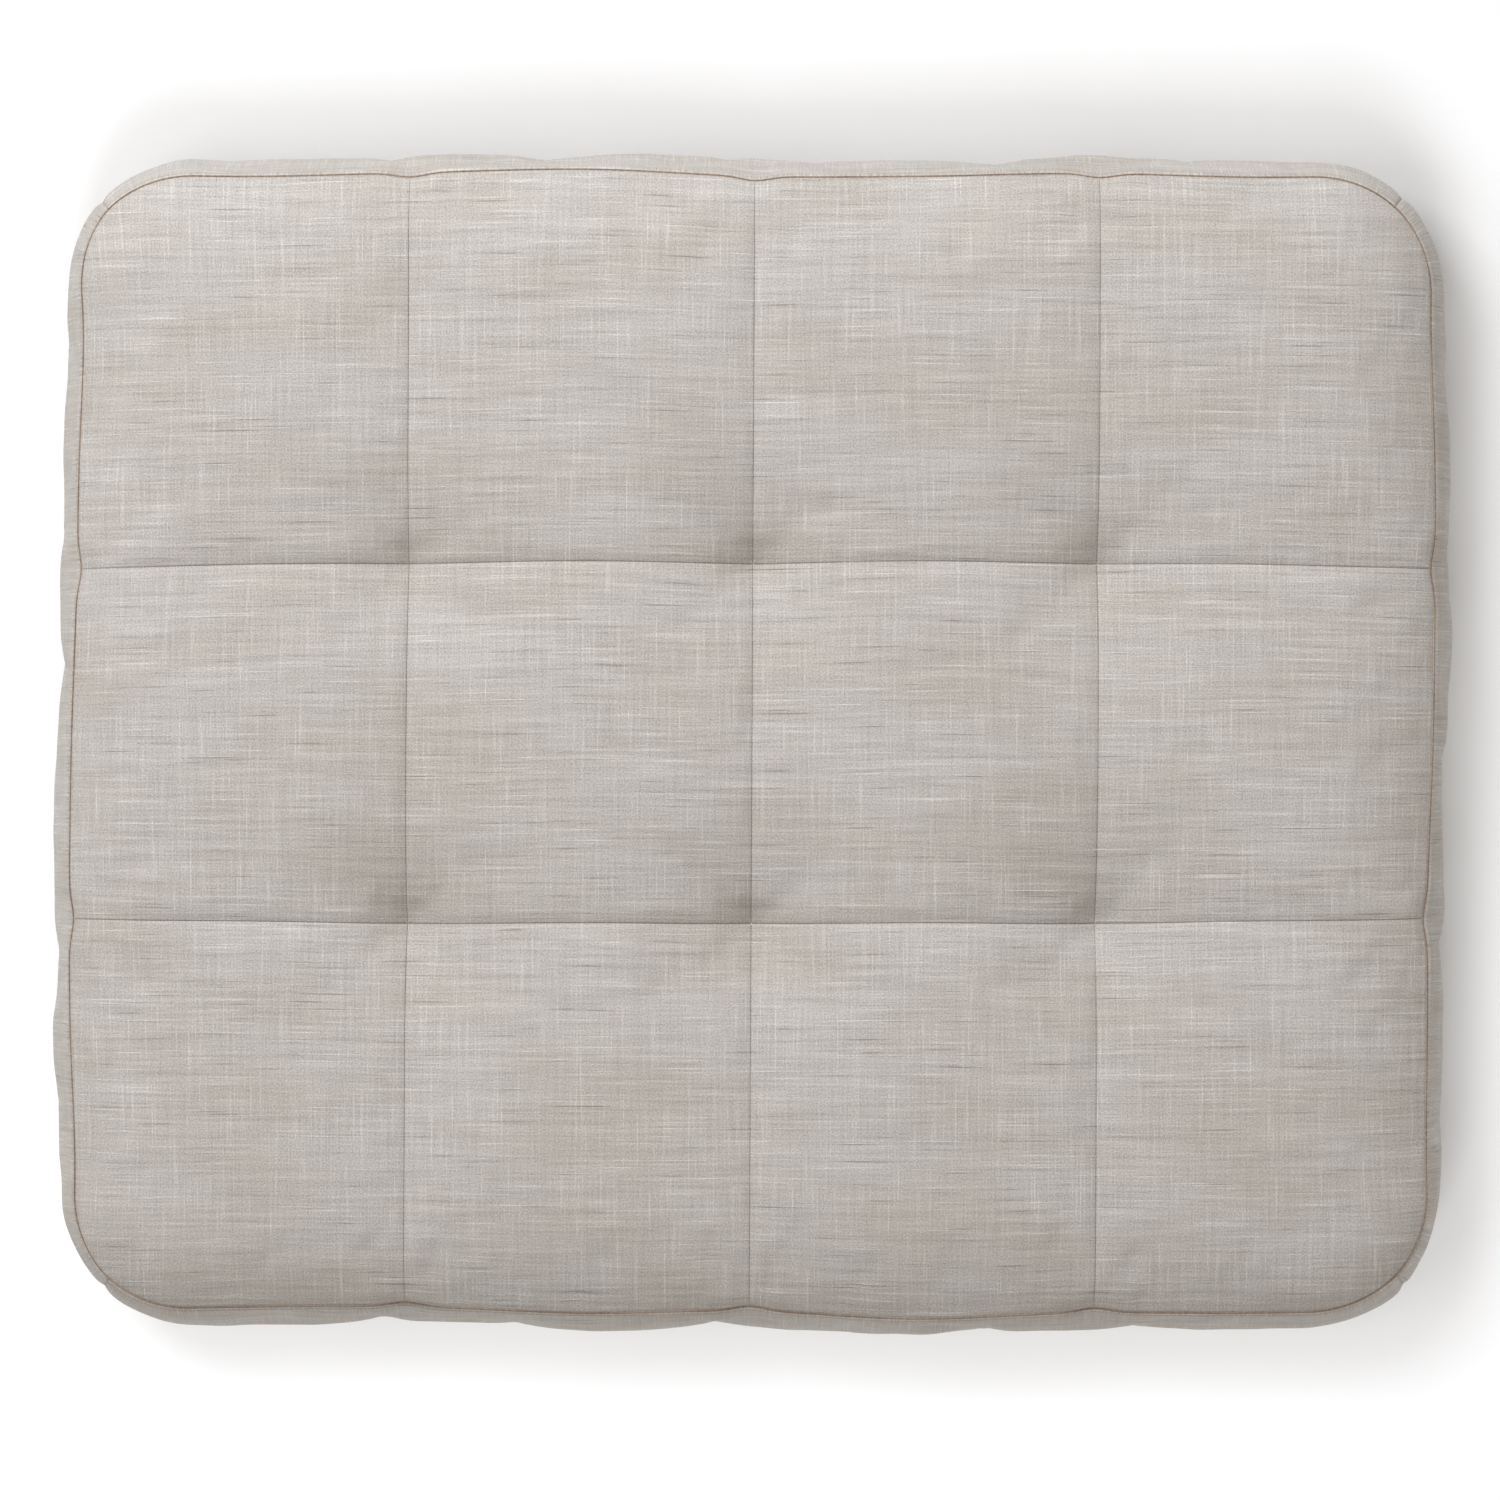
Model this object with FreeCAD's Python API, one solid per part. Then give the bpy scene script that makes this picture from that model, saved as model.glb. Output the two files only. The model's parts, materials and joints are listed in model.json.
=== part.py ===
"""Seat pad for a lounge chair: a boxed cushion with a biscuit-tufted top, in millimetres.

The cover is twelve sewn top pieces, four side strips with a zip in the back one, and a plain
bottom panel. It holds a foam core between fibre layers. Six twine loops pull the top down and are
tied off on six covered buttons that sit in hollows of the bottom.

Frame: origin under the middle of the pad on the plane that it lies on, +X to the pad's right,
+Y to its back, +Z up.
"""

import math
import os

import FreeCAD
import Part

# Overall size
PAD_WIDTH = 600.0
PAD_DEPTH = 505.0
CORNER_RADIUS = 62.0  # in plan, at the widest line of the sides
FABRIC = 1.5  # cover fabric with its backing
PLY_GAP = 0.6  # left between layers whose faces are curved

# Sides: a band that bulges between the bottom seam and the top seam
SEAM_HEIGHT = 76.0
BULGE = 10.0
SEAM_GROOVE = 1.0  # open line between a panel and the band, where the thread lies

# Top surface
COLUMN_PITCH = 149.0
ROW_PITCH = 153.0
GRID_HEIGHT = 91.5  # grid seams in the middle of the pad
CROWN = 3.5  # how far each piece puffs up between its seams
TUFT_DIP = 17.5
TUFT_SPREAD = 26.0
EDGE_POWER = 8
CORNER_MIX = 0.66  # makes the surface meet the seam on the round corners too
PATCH_SAMPLES = 17
LAYER_SAMPLES = 65

# Filling
SIDE_FIBRE = 10.0
TOP_FIBRE = 8.0
BOTTOM_FIBRE = 6.0

# Tuft ties and the buttons under the pad
TWINE_RADIUS = 0.8
TWINE_SPACING = 3.0
TIE_HOLE_RADIUS = 3.2
KNOT_LENGTH = 6.6
BUTTON_RADIUS = 11.0
BUTTON_THICKNESS = 4.2
BUTTON_RIM = 1.6
BUTTON_FLAT = 4.5
BUTTON_HOLE_ROOM = 0.1
HOLLOW_DEPTH = 8.0
HOLLOW_FLOOR_RADIUS = 14.0
HOLLOW_RIM_RADIUS = 34.0
PLUG_DEPTH = 1.0  # how far the shape that cuts a hollow reaches below the pad

# Threads
SEAM_THREAD_RADIUS = 0.4
GRID_THREAD = 0.8
THREAD_LIFT = 0.1

# Zip in the back strip
ZIP_HEIGHT = 30.0
ZIP_HALF_LENGTH = 215.0
ZIP_GAP = 10.4
TAPE_BACK = 244.6  # the tape's inner face, along Y
TAPE_THICKNESS = 0.6
TAPE_WIDTH = 14.0
TAPE_OVERRUN = 7.0
ZIP_ROOM = 3.0  # left free of fibre round the tapes and the slider
COIL_THICKNESS = 2.2
COIL_WIDTH = 2.4
COIL_ROUND = 0.6
CHAIN_GAP = 1.2  # between the two coil bars, for the slider's post
STOP_LENGTH = 2.5  # kept for a stop at the window's end
STOP_SIZE = 2.3
STOP_ROUND = 0.5
TAB_ROOM = 1.0  # between the window's end and the tab of an open zip
SLIDER_LENGTH = 11.0
SLIDER_WIDTH = 9.0
SLIDER_PLATE = 1.2
RUNNING_GAP = 0.3
BRIDGE_LENGTH = 8.0
BRIDGE_WIDTH = 2.0
BRIDGE_BAR = 1.0
BRIDGE_ROOM = 1.7  # under the bar, for the tab's pin
BRIDGE_FOOT = 1.4
PLATE_ROUND = 2.5
WALL_LENGTH = 4.0
PIN_RADIUS = 0.6
TAB_LENGTH = 26.0
TAB_WIDTH = 7.0
TAB_THICKNESS = 1.2
TAB_ROUND = 2.6
TAB_CLEARANCE = 0.5
TAB_OPENING = 5.2
TAB_EYE = 4.0  # from the tab's tip to the middle of its round hole
TAB_EYE_RADIUS = 1.5

HALF_X = PAD_WIDTH / 2
HALF_Y = PAD_DEPTH / 2
BAND_RADIUS = ((SEAM_HEIGHT / 2) ** 2 + BULGE**2) / (2 * BULGE)
CLOSED_STOP = ZIP_HALF_LENGTH - STOP_LENGTH  # inner face of the stop at the closed end
SLIDER_CLOSED = CLOSED_STOP - RUNNING_GAP - SLIDER_LENGTH / 2
SLIDER_OPEN = -ZIP_HALF_LENGTH + TAB_LENGTH + TAB_ROOM
OPEN_STOP = SLIDER_OPEN - SLIDER_LENGTH / 2 - RUNNING_GAP
UP = FreeCAD.Vector(0, 0, 1)


def band_inset(height, radius):
    """How far a band arc of this radius lies inside the pad's widest line, at a height."""
    return BAND_RADIUS - math.sqrt(radius**2 - (height - SEAM_HEIGHT / 2) ** 2)


BAND_INNER_EDGE = band_inset(SEAM_HEIGHT, BAND_RADIUS - FABRIC)
PANEL_INSET = BAND_INNER_EDGE + SEAM_GROOVE
THREAD_INSET = BAND_INNER_EDGE + SEAM_GROOVE / 2
PANEL_X = HALF_X - PANEL_INSET
PANEL_Y = HALF_Y - PANEL_INSET
FOAM_INSET = PANEL_INSET + SIDE_FIBRE
COLUMN_LINES = [-PANEL_X, -COLUMN_PITCH, 0.0, COLUMN_PITCH, PANEL_X]
ROW_LINES = [-PANEL_Y, -ROW_PITCH / 2, ROW_PITCH / 2, PANEL_Y]
TUFTS = [(x, y) for y in ROW_LINES[1:-1] for x in COLUMN_LINES[1:-1]]


# ---------------------------------------------------------------- helpers


def vector(x, y, z):
    return FreeCAD.Vector(x, y, z)


def box(low, high):
    """A box between two corners."""
    size = [b - a for a, b in zip(low, high)]
    return Part.makeBox(*size, vector(*low))


def save(name, shape):
    os.makedirs("parts", exist_ok=True)
    shape.exportStep(f"parts/{name}.step")
    print(f"{name:22s} solids {len(shape.Solids):2d}  volume {shape.Volume:12.1f}  valid {shape.isValid()}")


def corner_centres():
    """The middles of the four corner arcs, each with the angle at which its arc starts."""
    cx, cy = HALF_X - CORNER_RADIUS, HALF_Y - CORNER_RADIUS
    return [(cx, cy, 0), (-cx, cy, 90), (-cx, -cy, 180), (cx, -cy, 270)]


def outline(inset, height):
    """The pad's rounded rectangle, taken in by an inset, as a wire at a height."""
    radius = CORNER_RADIUS - inset
    edges = []
    ends = []
    for cx, cy, start in corner_centres():
        points = []
        for turn in (0, 45, 90):
            angle = math.radians(start + turn)
            points.append(vector(cx + radius * math.cos(angle), cy + radius * math.sin(angle), height))
        edges.append(Part.Arc(*points).toShape())
        ends.append((points[0], points[2]))
    for (_, leave), (arrive, _) in zip(ends, ends[1:] + ends[:1]):
        edges.append(Part.LineSegment(leave, arrive).toShape())
    return Part.Wire(Part.__sortEdges__(edges))


def slab(inset, low, high):
    """The pad's outline, taken in by an inset, between two heights."""
    return Part.Face(outline(inset, low)).extrude(UP * (high - low))


# ---------------------------------------------------------------- top surface


def pillow(value, lines):
    """0 on the seam lines and 1 half way between two of them."""
    for low, high in zip(lines, lines[1:]):
        if low <= value <= high:
            return math.sin(math.pi * (value - low) / (high - low))
    return 0.0


def base_height(x, y):
    """Height of the top without its puffs: low at the edge and at the tufts."""
    across = abs(x / PANEL_X) ** EDGE_POWER
    along = abs(y / PANEL_Y) ** EDGE_POWER
    edge = 1 - across - along + CORNER_MIX * across * along
    dips = sum(
        TUFT_DIP * math.exp(-((x - tx) ** 2 + (y - ty) ** 2) / TUFT_SPREAD**2) for tx, ty in TUFTS
    )
    return SEAM_HEIGHT + (GRID_HEIGHT - SEAM_HEIGHT) * edge - dips


def top_height(x, y):
    """Height of the cover's outer face, with a crease on each seam."""
    return base_height(x, y) + CROWN * pillow(x, COLUMN_LINES) * pillow(y, ROW_LINES)


def soft_height(x, y):
    """Height of a layer that follows the cover without its creases, and never rises above it."""
    puff = pillow(x, COLUMN_LINES) * pillow(y, ROW_LINES)
    return base_height(x, y) + CROWN * puff**2


def patch(x_range, y_range, height, samples=PATCH_SAMPLES):
    """A smooth face over one rectangle, through the heights that a function gives."""
    step_x = (x_range[1] - x_range[0]) / (samples - 1)
    step_y = (y_range[1] - y_range[0]) / (samples - 1)
    heights = [
        [height(x_range[0] + i * step_x, y_range[0] + j * step_y) for j in range(samples)]
        for i in range(samples)
    ]
    surface = Part.BSplineSurface()
    surface.interpolate(heights, x_range[0], step_x, y_range[0], step_y)
    return surface.toShape()


def lowered(height, drop):
    """A height function less a drop."""
    return lambda x, y: height(x, y) - drop


def level(height):
    """A height function that is the same everywhere."""
    return lambda x, y: height


def middle_of(edge):
    return edge.valueAt((edge.FirstParameter + edge.LastParameter) / 2)


def between(lower, upper):
    """A closed solid between two patches over the same rectangle, with upright sides."""
    faces = [lower, upper]
    for low_edge in lower.Edges:
        below = middle_of(low_edge)
        high_edge = min(
            upper.Edges, key=lambda e: math.hypot(middle_of(e).x - below.x, middle_of(e).y - below.y)
        )
        faces.append(Part.makeRuledSurface(low_edge, high_edge))
    shell = Part.Shell(faces)
    shell.sewShape()
    solid = Part.Solid(shell)
    solid.fixTolerance(1e-4)
    if solid.Volume < 0:
        solid.reverse()
    return solid


def cells():
    """(row, column, x range, y range) of the twelve top pieces, from front left."""
    for row, y_range in enumerate(zip(ROW_LINES, ROW_LINES[1:]), 1):
        for column, x_range in enumerate(zip(COLUMN_LINES, COLUMN_LINES[1:]), 1):
            yield row, column, x_range, y_range


def top_pieces():
    mask = slab(PANEL_INSET, 0, 2 * GRID_HEIGHT)
    for row, column, x_range, y_range in cells():
        inside = patch(x_range, y_range, lowered(top_height, FABRIC))
        piece = between(inside, patch(x_range, y_range, top_height))
        if row in (1, 3) and column in (1, 4):
            piece = piece.common(mask).Solids[0]
        save(f"top_piece_r{row}c{column}", piece)


def layer(lower, upper):
    """The filling between two height functions, inside the side fibre."""
    whole = ((-PANEL_X, PANEL_X), (-PANEL_Y, PANEL_Y))
    block = between(patch(*whole, lower, LAYER_SAMPLES), patch(*whole, upper, LAYER_SAMPLES))
    return block.common(slab(FOAM_INSET, -GRID_HEIGHT, 2 * GRID_HEIGHT))


# ---------------------------------------------------------------- hollows and ties


def hollow_plug(lift):
    """The space under one hollow of the bottom, raised by a lift, about the Z axis."""
    run = (HOLLOW_RIM_RADIUS - HOLLOW_FLOOR_RADIUS) / 2
    rise = HOLLOW_DEPTH / 2
    bend = (run**2 + rise**2) / (2 * rise)
    half = math.asin(run / bend) / 2
    way = vector(bend * math.sin(half), 0, bend * (1 - math.cos(half)))
    rim = vector(HOLLOW_RIM_RADIUS, 0, lift)
    middle = vector(HOLLOW_FLOOR_RADIUS + run, 0, lift + rise)
    floor = vector(HOLLOW_FLOOR_RADIUS, 0, lift + HOLLOW_DEPTH)
    edges = [
        Part.Arc(rim, vector(rim.x - way.x, 0, rim.z + way.z), middle).toShape(),
        Part.Arc(middle, vector(floor.x + way.x, 0, floor.z - way.z), floor).toShape(),
    ]
    corners = [floor, vector(0, 0, floor.z), vector(0, 0, -PLUG_DEPTH), vector(rim.x, 0, -PLUG_DEPTH), rim]
    edges += [Part.LineSegment(a, b).toShape() for a, b in zip(corners, corners[1:])]
    return Part.Face(Part.Wire(edges)).revolve(vector(0, 0, 0), UP, 360)


def at_tufts(shape):
    """A copy of a shape at each of the six tufts."""
    copies = []
    for x, y in TUFTS:
        copy = shape.copy()
        copy.translate(vector(x, y, 0))
        copies.append(copy)
    return copies


def tie_holes():
    hole = Part.makeCylinder(TIE_HOLE_RADIUS, 3 * GRID_HEIGHT, vector(0, 0, -GRID_HEIGHT))
    return at_tufts(hole)


def tie(x, y):
    """A loop of twine: two strands, a bend at the top and a knot under the button."""
    top = top_height(x, y) - FABRIC - PLY_GAP - TWINE_RADIUS
    spring_line = top - TWINE_SPACING / 2
    bottom = HOLLOW_DEPTH - BUTTON_THICKNESS - TWINE_RADIUS
    strands = []
    for side in (-1, 1):
        foot = vector(side * TWINE_SPACING / 2, 0, bottom)
        strands.append(Part.makeCylinder(TWINE_RADIUS, spring_line - bottom, foot))
    bend = Part.makeTorus(TWINE_SPACING / 2, TWINE_RADIUS, vector(0, 0, 0), vector(0, 1, 0))
    bend.translate(vector(0, 0, spring_line))
    above = box((-GRID_HEIGHT, -GRID_HEIGHT, spring_line), (GRID_HEIGHT, GRID_HEIGHT, 2 * GRID_HEIGHT))
    knot_end = vector(-KNOT_LENGTH / 2, 0, bottom)
    knot = Part.makeCylinder(TWINE_RADIUS, KNOT_LENGTH, knot_end, vector(1, 0, 0))
    loop = strands[0].multiFuse([strands[1], bend.common(above), knot]).removeSplitter()
    loop.translate(vector(x, y, 0))
    return loop


def button():
    """A covered button, face down: a low dome with a flat middle and two holes for the twine."""
    top = HOLLOW_DEPTH - PLY_GAP / 2
    shoulder = top - BUTTON_RIM
    bottom = HOLLOW_DEPTH - BUTTON_THICKNESS
    round_through = vector(
        0.6 * BUTTON_RADIUS + 0.4 * BUTTON_FLAT, 0, shoulder - 0.65 * (shoulder - bottom)
    )
    corners = [
        vector(BUTTON_FLAT, 0, bottom),
        vector(0, 0, bottom),
        vector(0, 0, top),
        vector(BUTTON_RADIUS, 0, top),
        vector(BUTTON_RADIUS, 0, shoulder),
    ]
    edges = [Part.LineSegment(a, b).toShape() for a, b in zip(corners, corners[1:])]
    edges.append(Part.Arc(corners[-1], round_through, corners[0]).toShape())
    disc = Part.Face(Part.Wire(edges)).revolve(vector(0, 0, 0), UP, 360)
    for side in (-1, 1):
        foot = vector(side * TWINE_SPACING / 2, 0, 0)
        disc = disc.cut(Part.makeCylinder(TWINE_RADIUS + BUTTON_HOLE_ROOM, 2 * HOLLOW_DEPTH, foot))
    return disc


# ---------------------------------------------------------------- layers


def foam_core():
    drop = FABRIC + 2 * PLY_GAP + TOP_FIBRE
    floor = FABRIC + BOTTOM_FIBRE + 2 * PLY_GAP
    block = layer(level(floor), lowered(soft_height, drop))
    save("foam_core", block.cut(at_tufts(hollow_plug(floor))).cut(tie_holes()))


def fibre_top():
    high = FABRIC + PLY_GAP
    block = layer(lowered(soft_height, high + TOP_FIBRE), lowered(soft_height, high))
    save("fibre_top", block.cut(tie_holes()))


def dimpled_slab(inset, low, high):
    """A layer of the bottom that rises over each hollow, with a hole for each tie."""
    over = [
        plug.common(slab(inset, low, high + HOLLOW_DEPTH)) for plug in at_tufts(hollow_plug(high))
    ]
    block = slab(inset, low, high).multiFuse(over)
    return block.cut(at_tufts(hollow_plug(low))).cut(tie_holes()).removeSplitter()


def fibre_side():
    """The fibre round the foam, open where the zip's tapes stand in from the band."""
    arc_radius = BAND_RADIUS - FABRIC - PLY_GAP
    low, high = FABRIC + PLY_GAP, SEAM_HEIGHT - FABRIC - 2 * PLY_GAP
    inner = FOAM_INSET - PLY_GAP
    outer_low, outer_high = band_inset(low, arc_radius), band_inset(high, arc_radius)
    band = ring(
        [
            ("line", (inner, low), (inner, high)),
            ("line", (inner, high), (outer_high, high)),
            ("arc", (outer_high, high), (BAND_RADIUS - arc_radius, SEAM_HEIGHT / 2), (outer_low, low)),
            ("line", (outer_low, low), (inner, low)),
        ]
    )
    reach_x = ZIP_HALF_LENGTH + TAPE_OVERRUN + ZIP_ROOM
    reach_z = TAPE_WIDTH + ZIP_ROOM
    zip_room = box(
        (-reach_x, TAPE_BACK - ZIP_ROOM, ZIP_HEIGHT - reach_z), (reach_x, HALF_Y, ZIP_HEIGHT + reach_z)
    )
    save("fibre_side", band.cut(zip_room))


# ---------------------------------------------------------------- side band


def profile_face(profile, place):
    """A face from lines and arcs given as (inset, height), placed by a function."""
    edges = []
    for kind, *points in profile:
        placed = [place(inset, height) for inset, height in points]
        if kind == "line":
            edges.append(Part.LineSegment(*placed).toShape())
        else:
            edges.append(Part.Arc(*placed).toShape())
    return Part.Face(Part.Wire(Part.__sortEdges__(edges)))


def quarter_strip(profile, side):
    """A profile along one straight side of the pad and half of the corner at each end."""
    cx, cy, start = corner_centres()[side]
    before_x, before_y, _ = corner_centres()[side - 1]
    outward = math.radians(start)
    normal = vector(math.cos(outward), math.sin(outward), 0)

    def place(inset, height):
        return vector(cx, cy, height) + normal * (CORNER_RADIUS - inset)

    face = profile_face(profile, place)
    run = vector(before_x - cx, before_y - cy, 0)
    pieces = [
        face.extrude(run),
        face.revolve(vector(cx, cy, 0), UP, 45),
        face.translated(run).revolve(vector(before_x, before_y, 0), UP, -45),
    ]
    return pieces[0].multiFuse(pieces[1:]).removeSplitter()


def ring(profile):
    """A profile along the whole outline, as one solid."""
    strips = [quarter_strip(profile, side) for side in range(4)]
    return strips[0].multiFuse(strips[1:]).removeSplitter()


def band_profile():
    inner = BAND_RADIUS - FABRIC
    middle = SEAM_HEIGHT / 2
    top_out, top_in = (BULGE, SEAM_HEIGHT), (BAND_INNER_EDGE, SEAM_HEIGHT)
    low_out, low_in = (BULGE, 0.0), (BAND_INNER_EDGE, 0.0)
    return [
        ("arc", low_out, (0.0, middle), top_out),
        ("line", top_out, top_in),
        ("arc", top_in, (BAND_RADIUS - inner, middle), low_in),
        ("line", low_in, low_out),
    ]


def side_strips():
    profile = band_profile()
    save("side_strip_right", quarter_strip(profile, 0))
    save("side_strip_left", quarter_strip(profile, 2))
    save("side_strip_front", quarter_strip(profile, 3))
    back = back_strip(quarter_strip(profile, 1))
    reach = 2 * PAD_WIDTH
    below = box((-reach, -reach, -reach), (reach, reach, ZIP_HEIGHT))
    save("side_strip_back_upper", back.cut(below))
    save("side_strip_back_lower", back.common(below))


def back_strip(strip):
    """The back strip with a window for the zip, its edges turned in to meet the tapes."""
    half_gap = ZIP_GAP / 2
    window = box(
        (-ZIP_HALF_LENGTH, TAPE_BACK, ZIP_HEIGHT - half_gap),
        (ZIP_HALF_LENGTH, 2 * HALF_Y, ZIP_HEIGHT + half_gap),
    )
    hem = box(
        (-ZIP_HALF_LENGTH - FABRIC, TAPE_BACK + TAPE_THICKNESS, ZIP_HEIGHT - half_gap - FABRIC),
        (ZIP_HALF_LENGTH + FABRIC, HALF_Y - FABRIC, ZIP_HEIGHT + half_gap + FABRIC),
    )
    return strip.fuse(hem).cut(window)


# ---------------------------------------------------------------- threads


def round_ring(inset, height, radius):
    """A round thread along the pad's outline."""
    west, east = (inset + radius, height), (inset - radius, height)
    low, high = (inset, height - radius), (inset, height + radius)
    return ring([("arc", west, low, east), ("arc", east, high, west)])


def grid_thread(x_range, y_range):
    """A thread laid in a crease of the top, level across its width."""
    if x_range[1] - x_range[0] < y_range[1] - y_range[0]:
        middle = sum(x_range) / 2
        crease = lambda x, y: top_height(middle, y)
    else:
        middle = sum(y_range) / 2
        crease = lambda x, y: top_height(x, middle)
    lower = patch(x_range, y_range, lowered(crease, -THREAD_LIFT), LAYER_SAMPLES)
    upper = patch(x_range, y_range, lowered(crease, -THREAD_LIFT - GRID_THREAD), LAYER_SAMPLES)
    return between(lower, upper)


def seam_threads():
    save("top_seam_thread", round_ring(THREAD_INSET, SEAM_HEIGHT - SEAM_THREAD_RADIUS, SEAM_THREAD_RADIUS))
    save("bottom_seam_thread", round_ring(THREAD_INSET, 2 * SEAM_THREAD_RADIUS, SEAM_THREAD_RADIUS))

    half = GRID_THREAD / 2
    for number, x in enumerate(COLUMN_LINES[1:-1], 1):
        save(f"column_seam_thread_{number}", grid_thread((x - half, x + half), ROW_LINES[::3]))
    for number, y in enumerate(ROW_LINES[1:-1], 1):
        threads = []
        for low, high in zip(COLUMN_LINES, COLUMN_LINES[1:]):
            threads.append(grid_thread((low + GRID_THREAD, high - GRID_THREAD), (y - half, y + half)))
        save(f"row_seam_threads_{number}", Part.Compound(threads))


# ---------------------------------------------------------------- zip


def zip_box(x_range, out_range, up_range):
    """A box by X, by how far out from the tape's inner face, and by height from the zip's line."""
    return box(
        (x_range[0], TAPE_BACK + out_range[0], ZIP_HEIGHT + up_range[0]),
        (x_range[1], TAPE_BACK + out_range[1], ZIP_HEIGHT + up_range[1]),
    )


def edges_of_length(shape, length):
    """On a box, the edges along one of its axes."""
    return [edge for edge in shape.Edges if abs(edge.Length - length) < 1e-6]


def zip_tapes():
    """Two tapes with a coil on the facing edge of each, and a metal stop across each end."""
    tape_end = ZIP_HALF_LENGTH + TAPE_OVERRUN
    coil_x = (OPEN_STOP + RUNNING_GAP, CLOSED_STOP - RUNNING_GAP)
    coil_out = (TAPE_THICKNESS, TAPE_THICKNESS + COIL_THICKNESS)
    near = CHAIN_GAP / 2
    for name, sign in (("upper", 1), ("lower", -1)):
        tape_up = sorted((sign * near, sign * (near + TAPE_WIDTH)))
        coil_up = sorted((sign * near, sign * (near + COIL_WIDTH)))
        save(f"zip_tape_{name}", zip_box((-tape_end, tape_end), (0, TAPE_THICKNESS), tape_up))
        coil = zip_box(coil_x, coil_out, coil_up)
        save(f"zip_coil_{name}", coil.makeFillet(COIL_ROUND, edges_of_length(coil, coil_x[1] - coil_x[0])))
    stop_up = (-near - COIL_WIDTH, near + COIL_WIDTH)
    for name, start in (("closed", CLOSED_STOP), ("open", OPEN_STOP - STOP_SIZE)):
        stop = zip_box((start, start + STOP_SIZE), coil_out, stop_up)
        save(f"zip_stop_{name}", stop.makeFillet(STOP_ROUND, edges_of_length(stop, STOP_SIZE)))


def zip_slider():
    """Two plates joined by a thin wall that runs between the coils, and a bridge for the tab."""
    half_length, half_width = SLIDER_LENGTH / 2, SLIDER_WIDTH / 2
    front_low = TAPE_THICKNESS + COIL_THICKNESS + RUNNING_GAP
    front_high = front_low + SLIDER_PLATE
    bridge_low = front_high + BRIDGE_ROOM
    bridge_high = bridge_low + BRIDGE_BAR
    bridge_up = (-BRIDGE_WIDTH / 2, BRIDGE_WIDTH / 2)
    flange_low = CHAIN_GAP / 2 + COIL_WIDTH + RUNNING_GAP
    straight = half_length - PLATE_ROUND

    parts = []
    for low in (front_low, -RUNNING_GAP - SLIDER_PLATE):
        plate = zip_box((-half_length, half_length), (low, low + SLIDER_PLATE), (-half_width, half_width))
        parts.append(plate.makeFillet(PLATE_ROUND, edges_of_length(plate, SLIDER_PLATE)))
    for sign in (-1, 1):
        flange_up = sorted((sign * flange_low, sign * half_width))
        parts.append(
            zip_box((-straight, straight), (TAPE_THICKNESS + RUNNING_GAP, front_low), flange_up)
        )
        foot = sorted((sign * BRIDGE_LENGTH / 2, sign * (BRIDGE_LENGTH / 2 - BRIDGE_FOOT)))
        parts.append(zip_box(foot, (front_high, bridge_high), bridge_up))
    parts.append(zip_box((-BRIDGE_LENGTH / 2, BRIDGE_LENGTH / 2), (bridge_low, bridge_high), bridge_up))
    wall = (CHAIN_GAP - 2 * RUNNING_GAP) / 2
    parts.append(zip_box((0, WALL_LENGTH), (-RUNNING_GAP, front_low), (-wall, wall)))
    slider = parts[0].multiFuse(parts[1:]).removeSplitter()
    save("zip_slider", slider.translated(vector(SLIDER_CLOSED, 0, 0)))


def zip_pull():
    """The pull tab, flat on the slider and pointing to the open end; it turns on its own pin."""
    axis = TAPE_THICKNESS + COIL_THICKNESS + RUNNING_GAP + SLIDER_PLATE + BRIDGE_ROOM / 2
    half = TAB_THICKNESS / 2
    tab = zip_box((-TAB_LENGTH, 0), (axis - half, axis + half), (-TAB_WIDTH / 2, TAB_WIDTH / 2))
    corners = edges_of_length(tab, TAB_THICKNESS)
    tab = tab.makeFillet(TAB_ROUND, [edge for edge in corners if middle_of(edge).x < -TAB_LENGTH / 2])
    clear = BRIDGE_WIDTH / 2 + TAB_CLEARANCE
    through = (axis - TAB_THICKNESS, axis + TAB_THICKNESS)
    opening = zip_box((-TAB_OPENING, TAB_OPENING), through, (-clear, clear))
    eye_foot = vector(TAB_EYE - TAB_LENGTH, TAPE_BACK + through[0], ZIP_HEIGHT)
    eye = Part.makeCylinder(TAB_EYE_RADIUS, 2 * TAB_THICKNESS, eye_foot, vector(0, 1, 0))
    pin_foot = vector(0, TAPE_BACK + axis, ZIP_HEIGHT - TAB_WIDTH / 2)
    pin = Part.makeCylinder(PIN_RADIUS, TAB_WIDTH, pin_foot, UP)
    pull = tab.cut(opening).cut(eye).fuse(pin).removeSplitter()
    save("zip_pull", pull.translated(vector(SLIDER_CLOSED, 0, 0)))
    print(f"slider travel {SLIDER_CLOSED - SLIDER_OPEN:.1f}, from x {SLIDER_CLOSED:.2f}")
    print(f"tab's axis at y {TAPE_BACK + axis:.3f}, z {ZIP_HEIGHT}")


def main():
    top_pieces()
    foam_core()
    fibre_top()
    fibre_side()
    fibre_low = FABRIC + PLY_GAP
    save("fibre_bottom", dimpled_slab(FOAM_INSET, fibre_low, fibre_low + BOTTOM_FIBRE))
    save("bottom_panel", dimpled_slab(PANEL_INSET, 0, FABRIC))
    side_strips()
    seam_threads()
    for number, (x, y) in enumerate(TUFTS, 1):
        save(f"tuft_tie_{number}", tie(x, y))
        save(f"tuft_button_{number}", button().translated(vector(x, y, 0)))
    zip_tapes()
    zip_slider()
    zip_pull()


main()
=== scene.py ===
import json
import math
import random

import bpy
import numpy as np
from mathutils import Matrix, Vector


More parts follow.
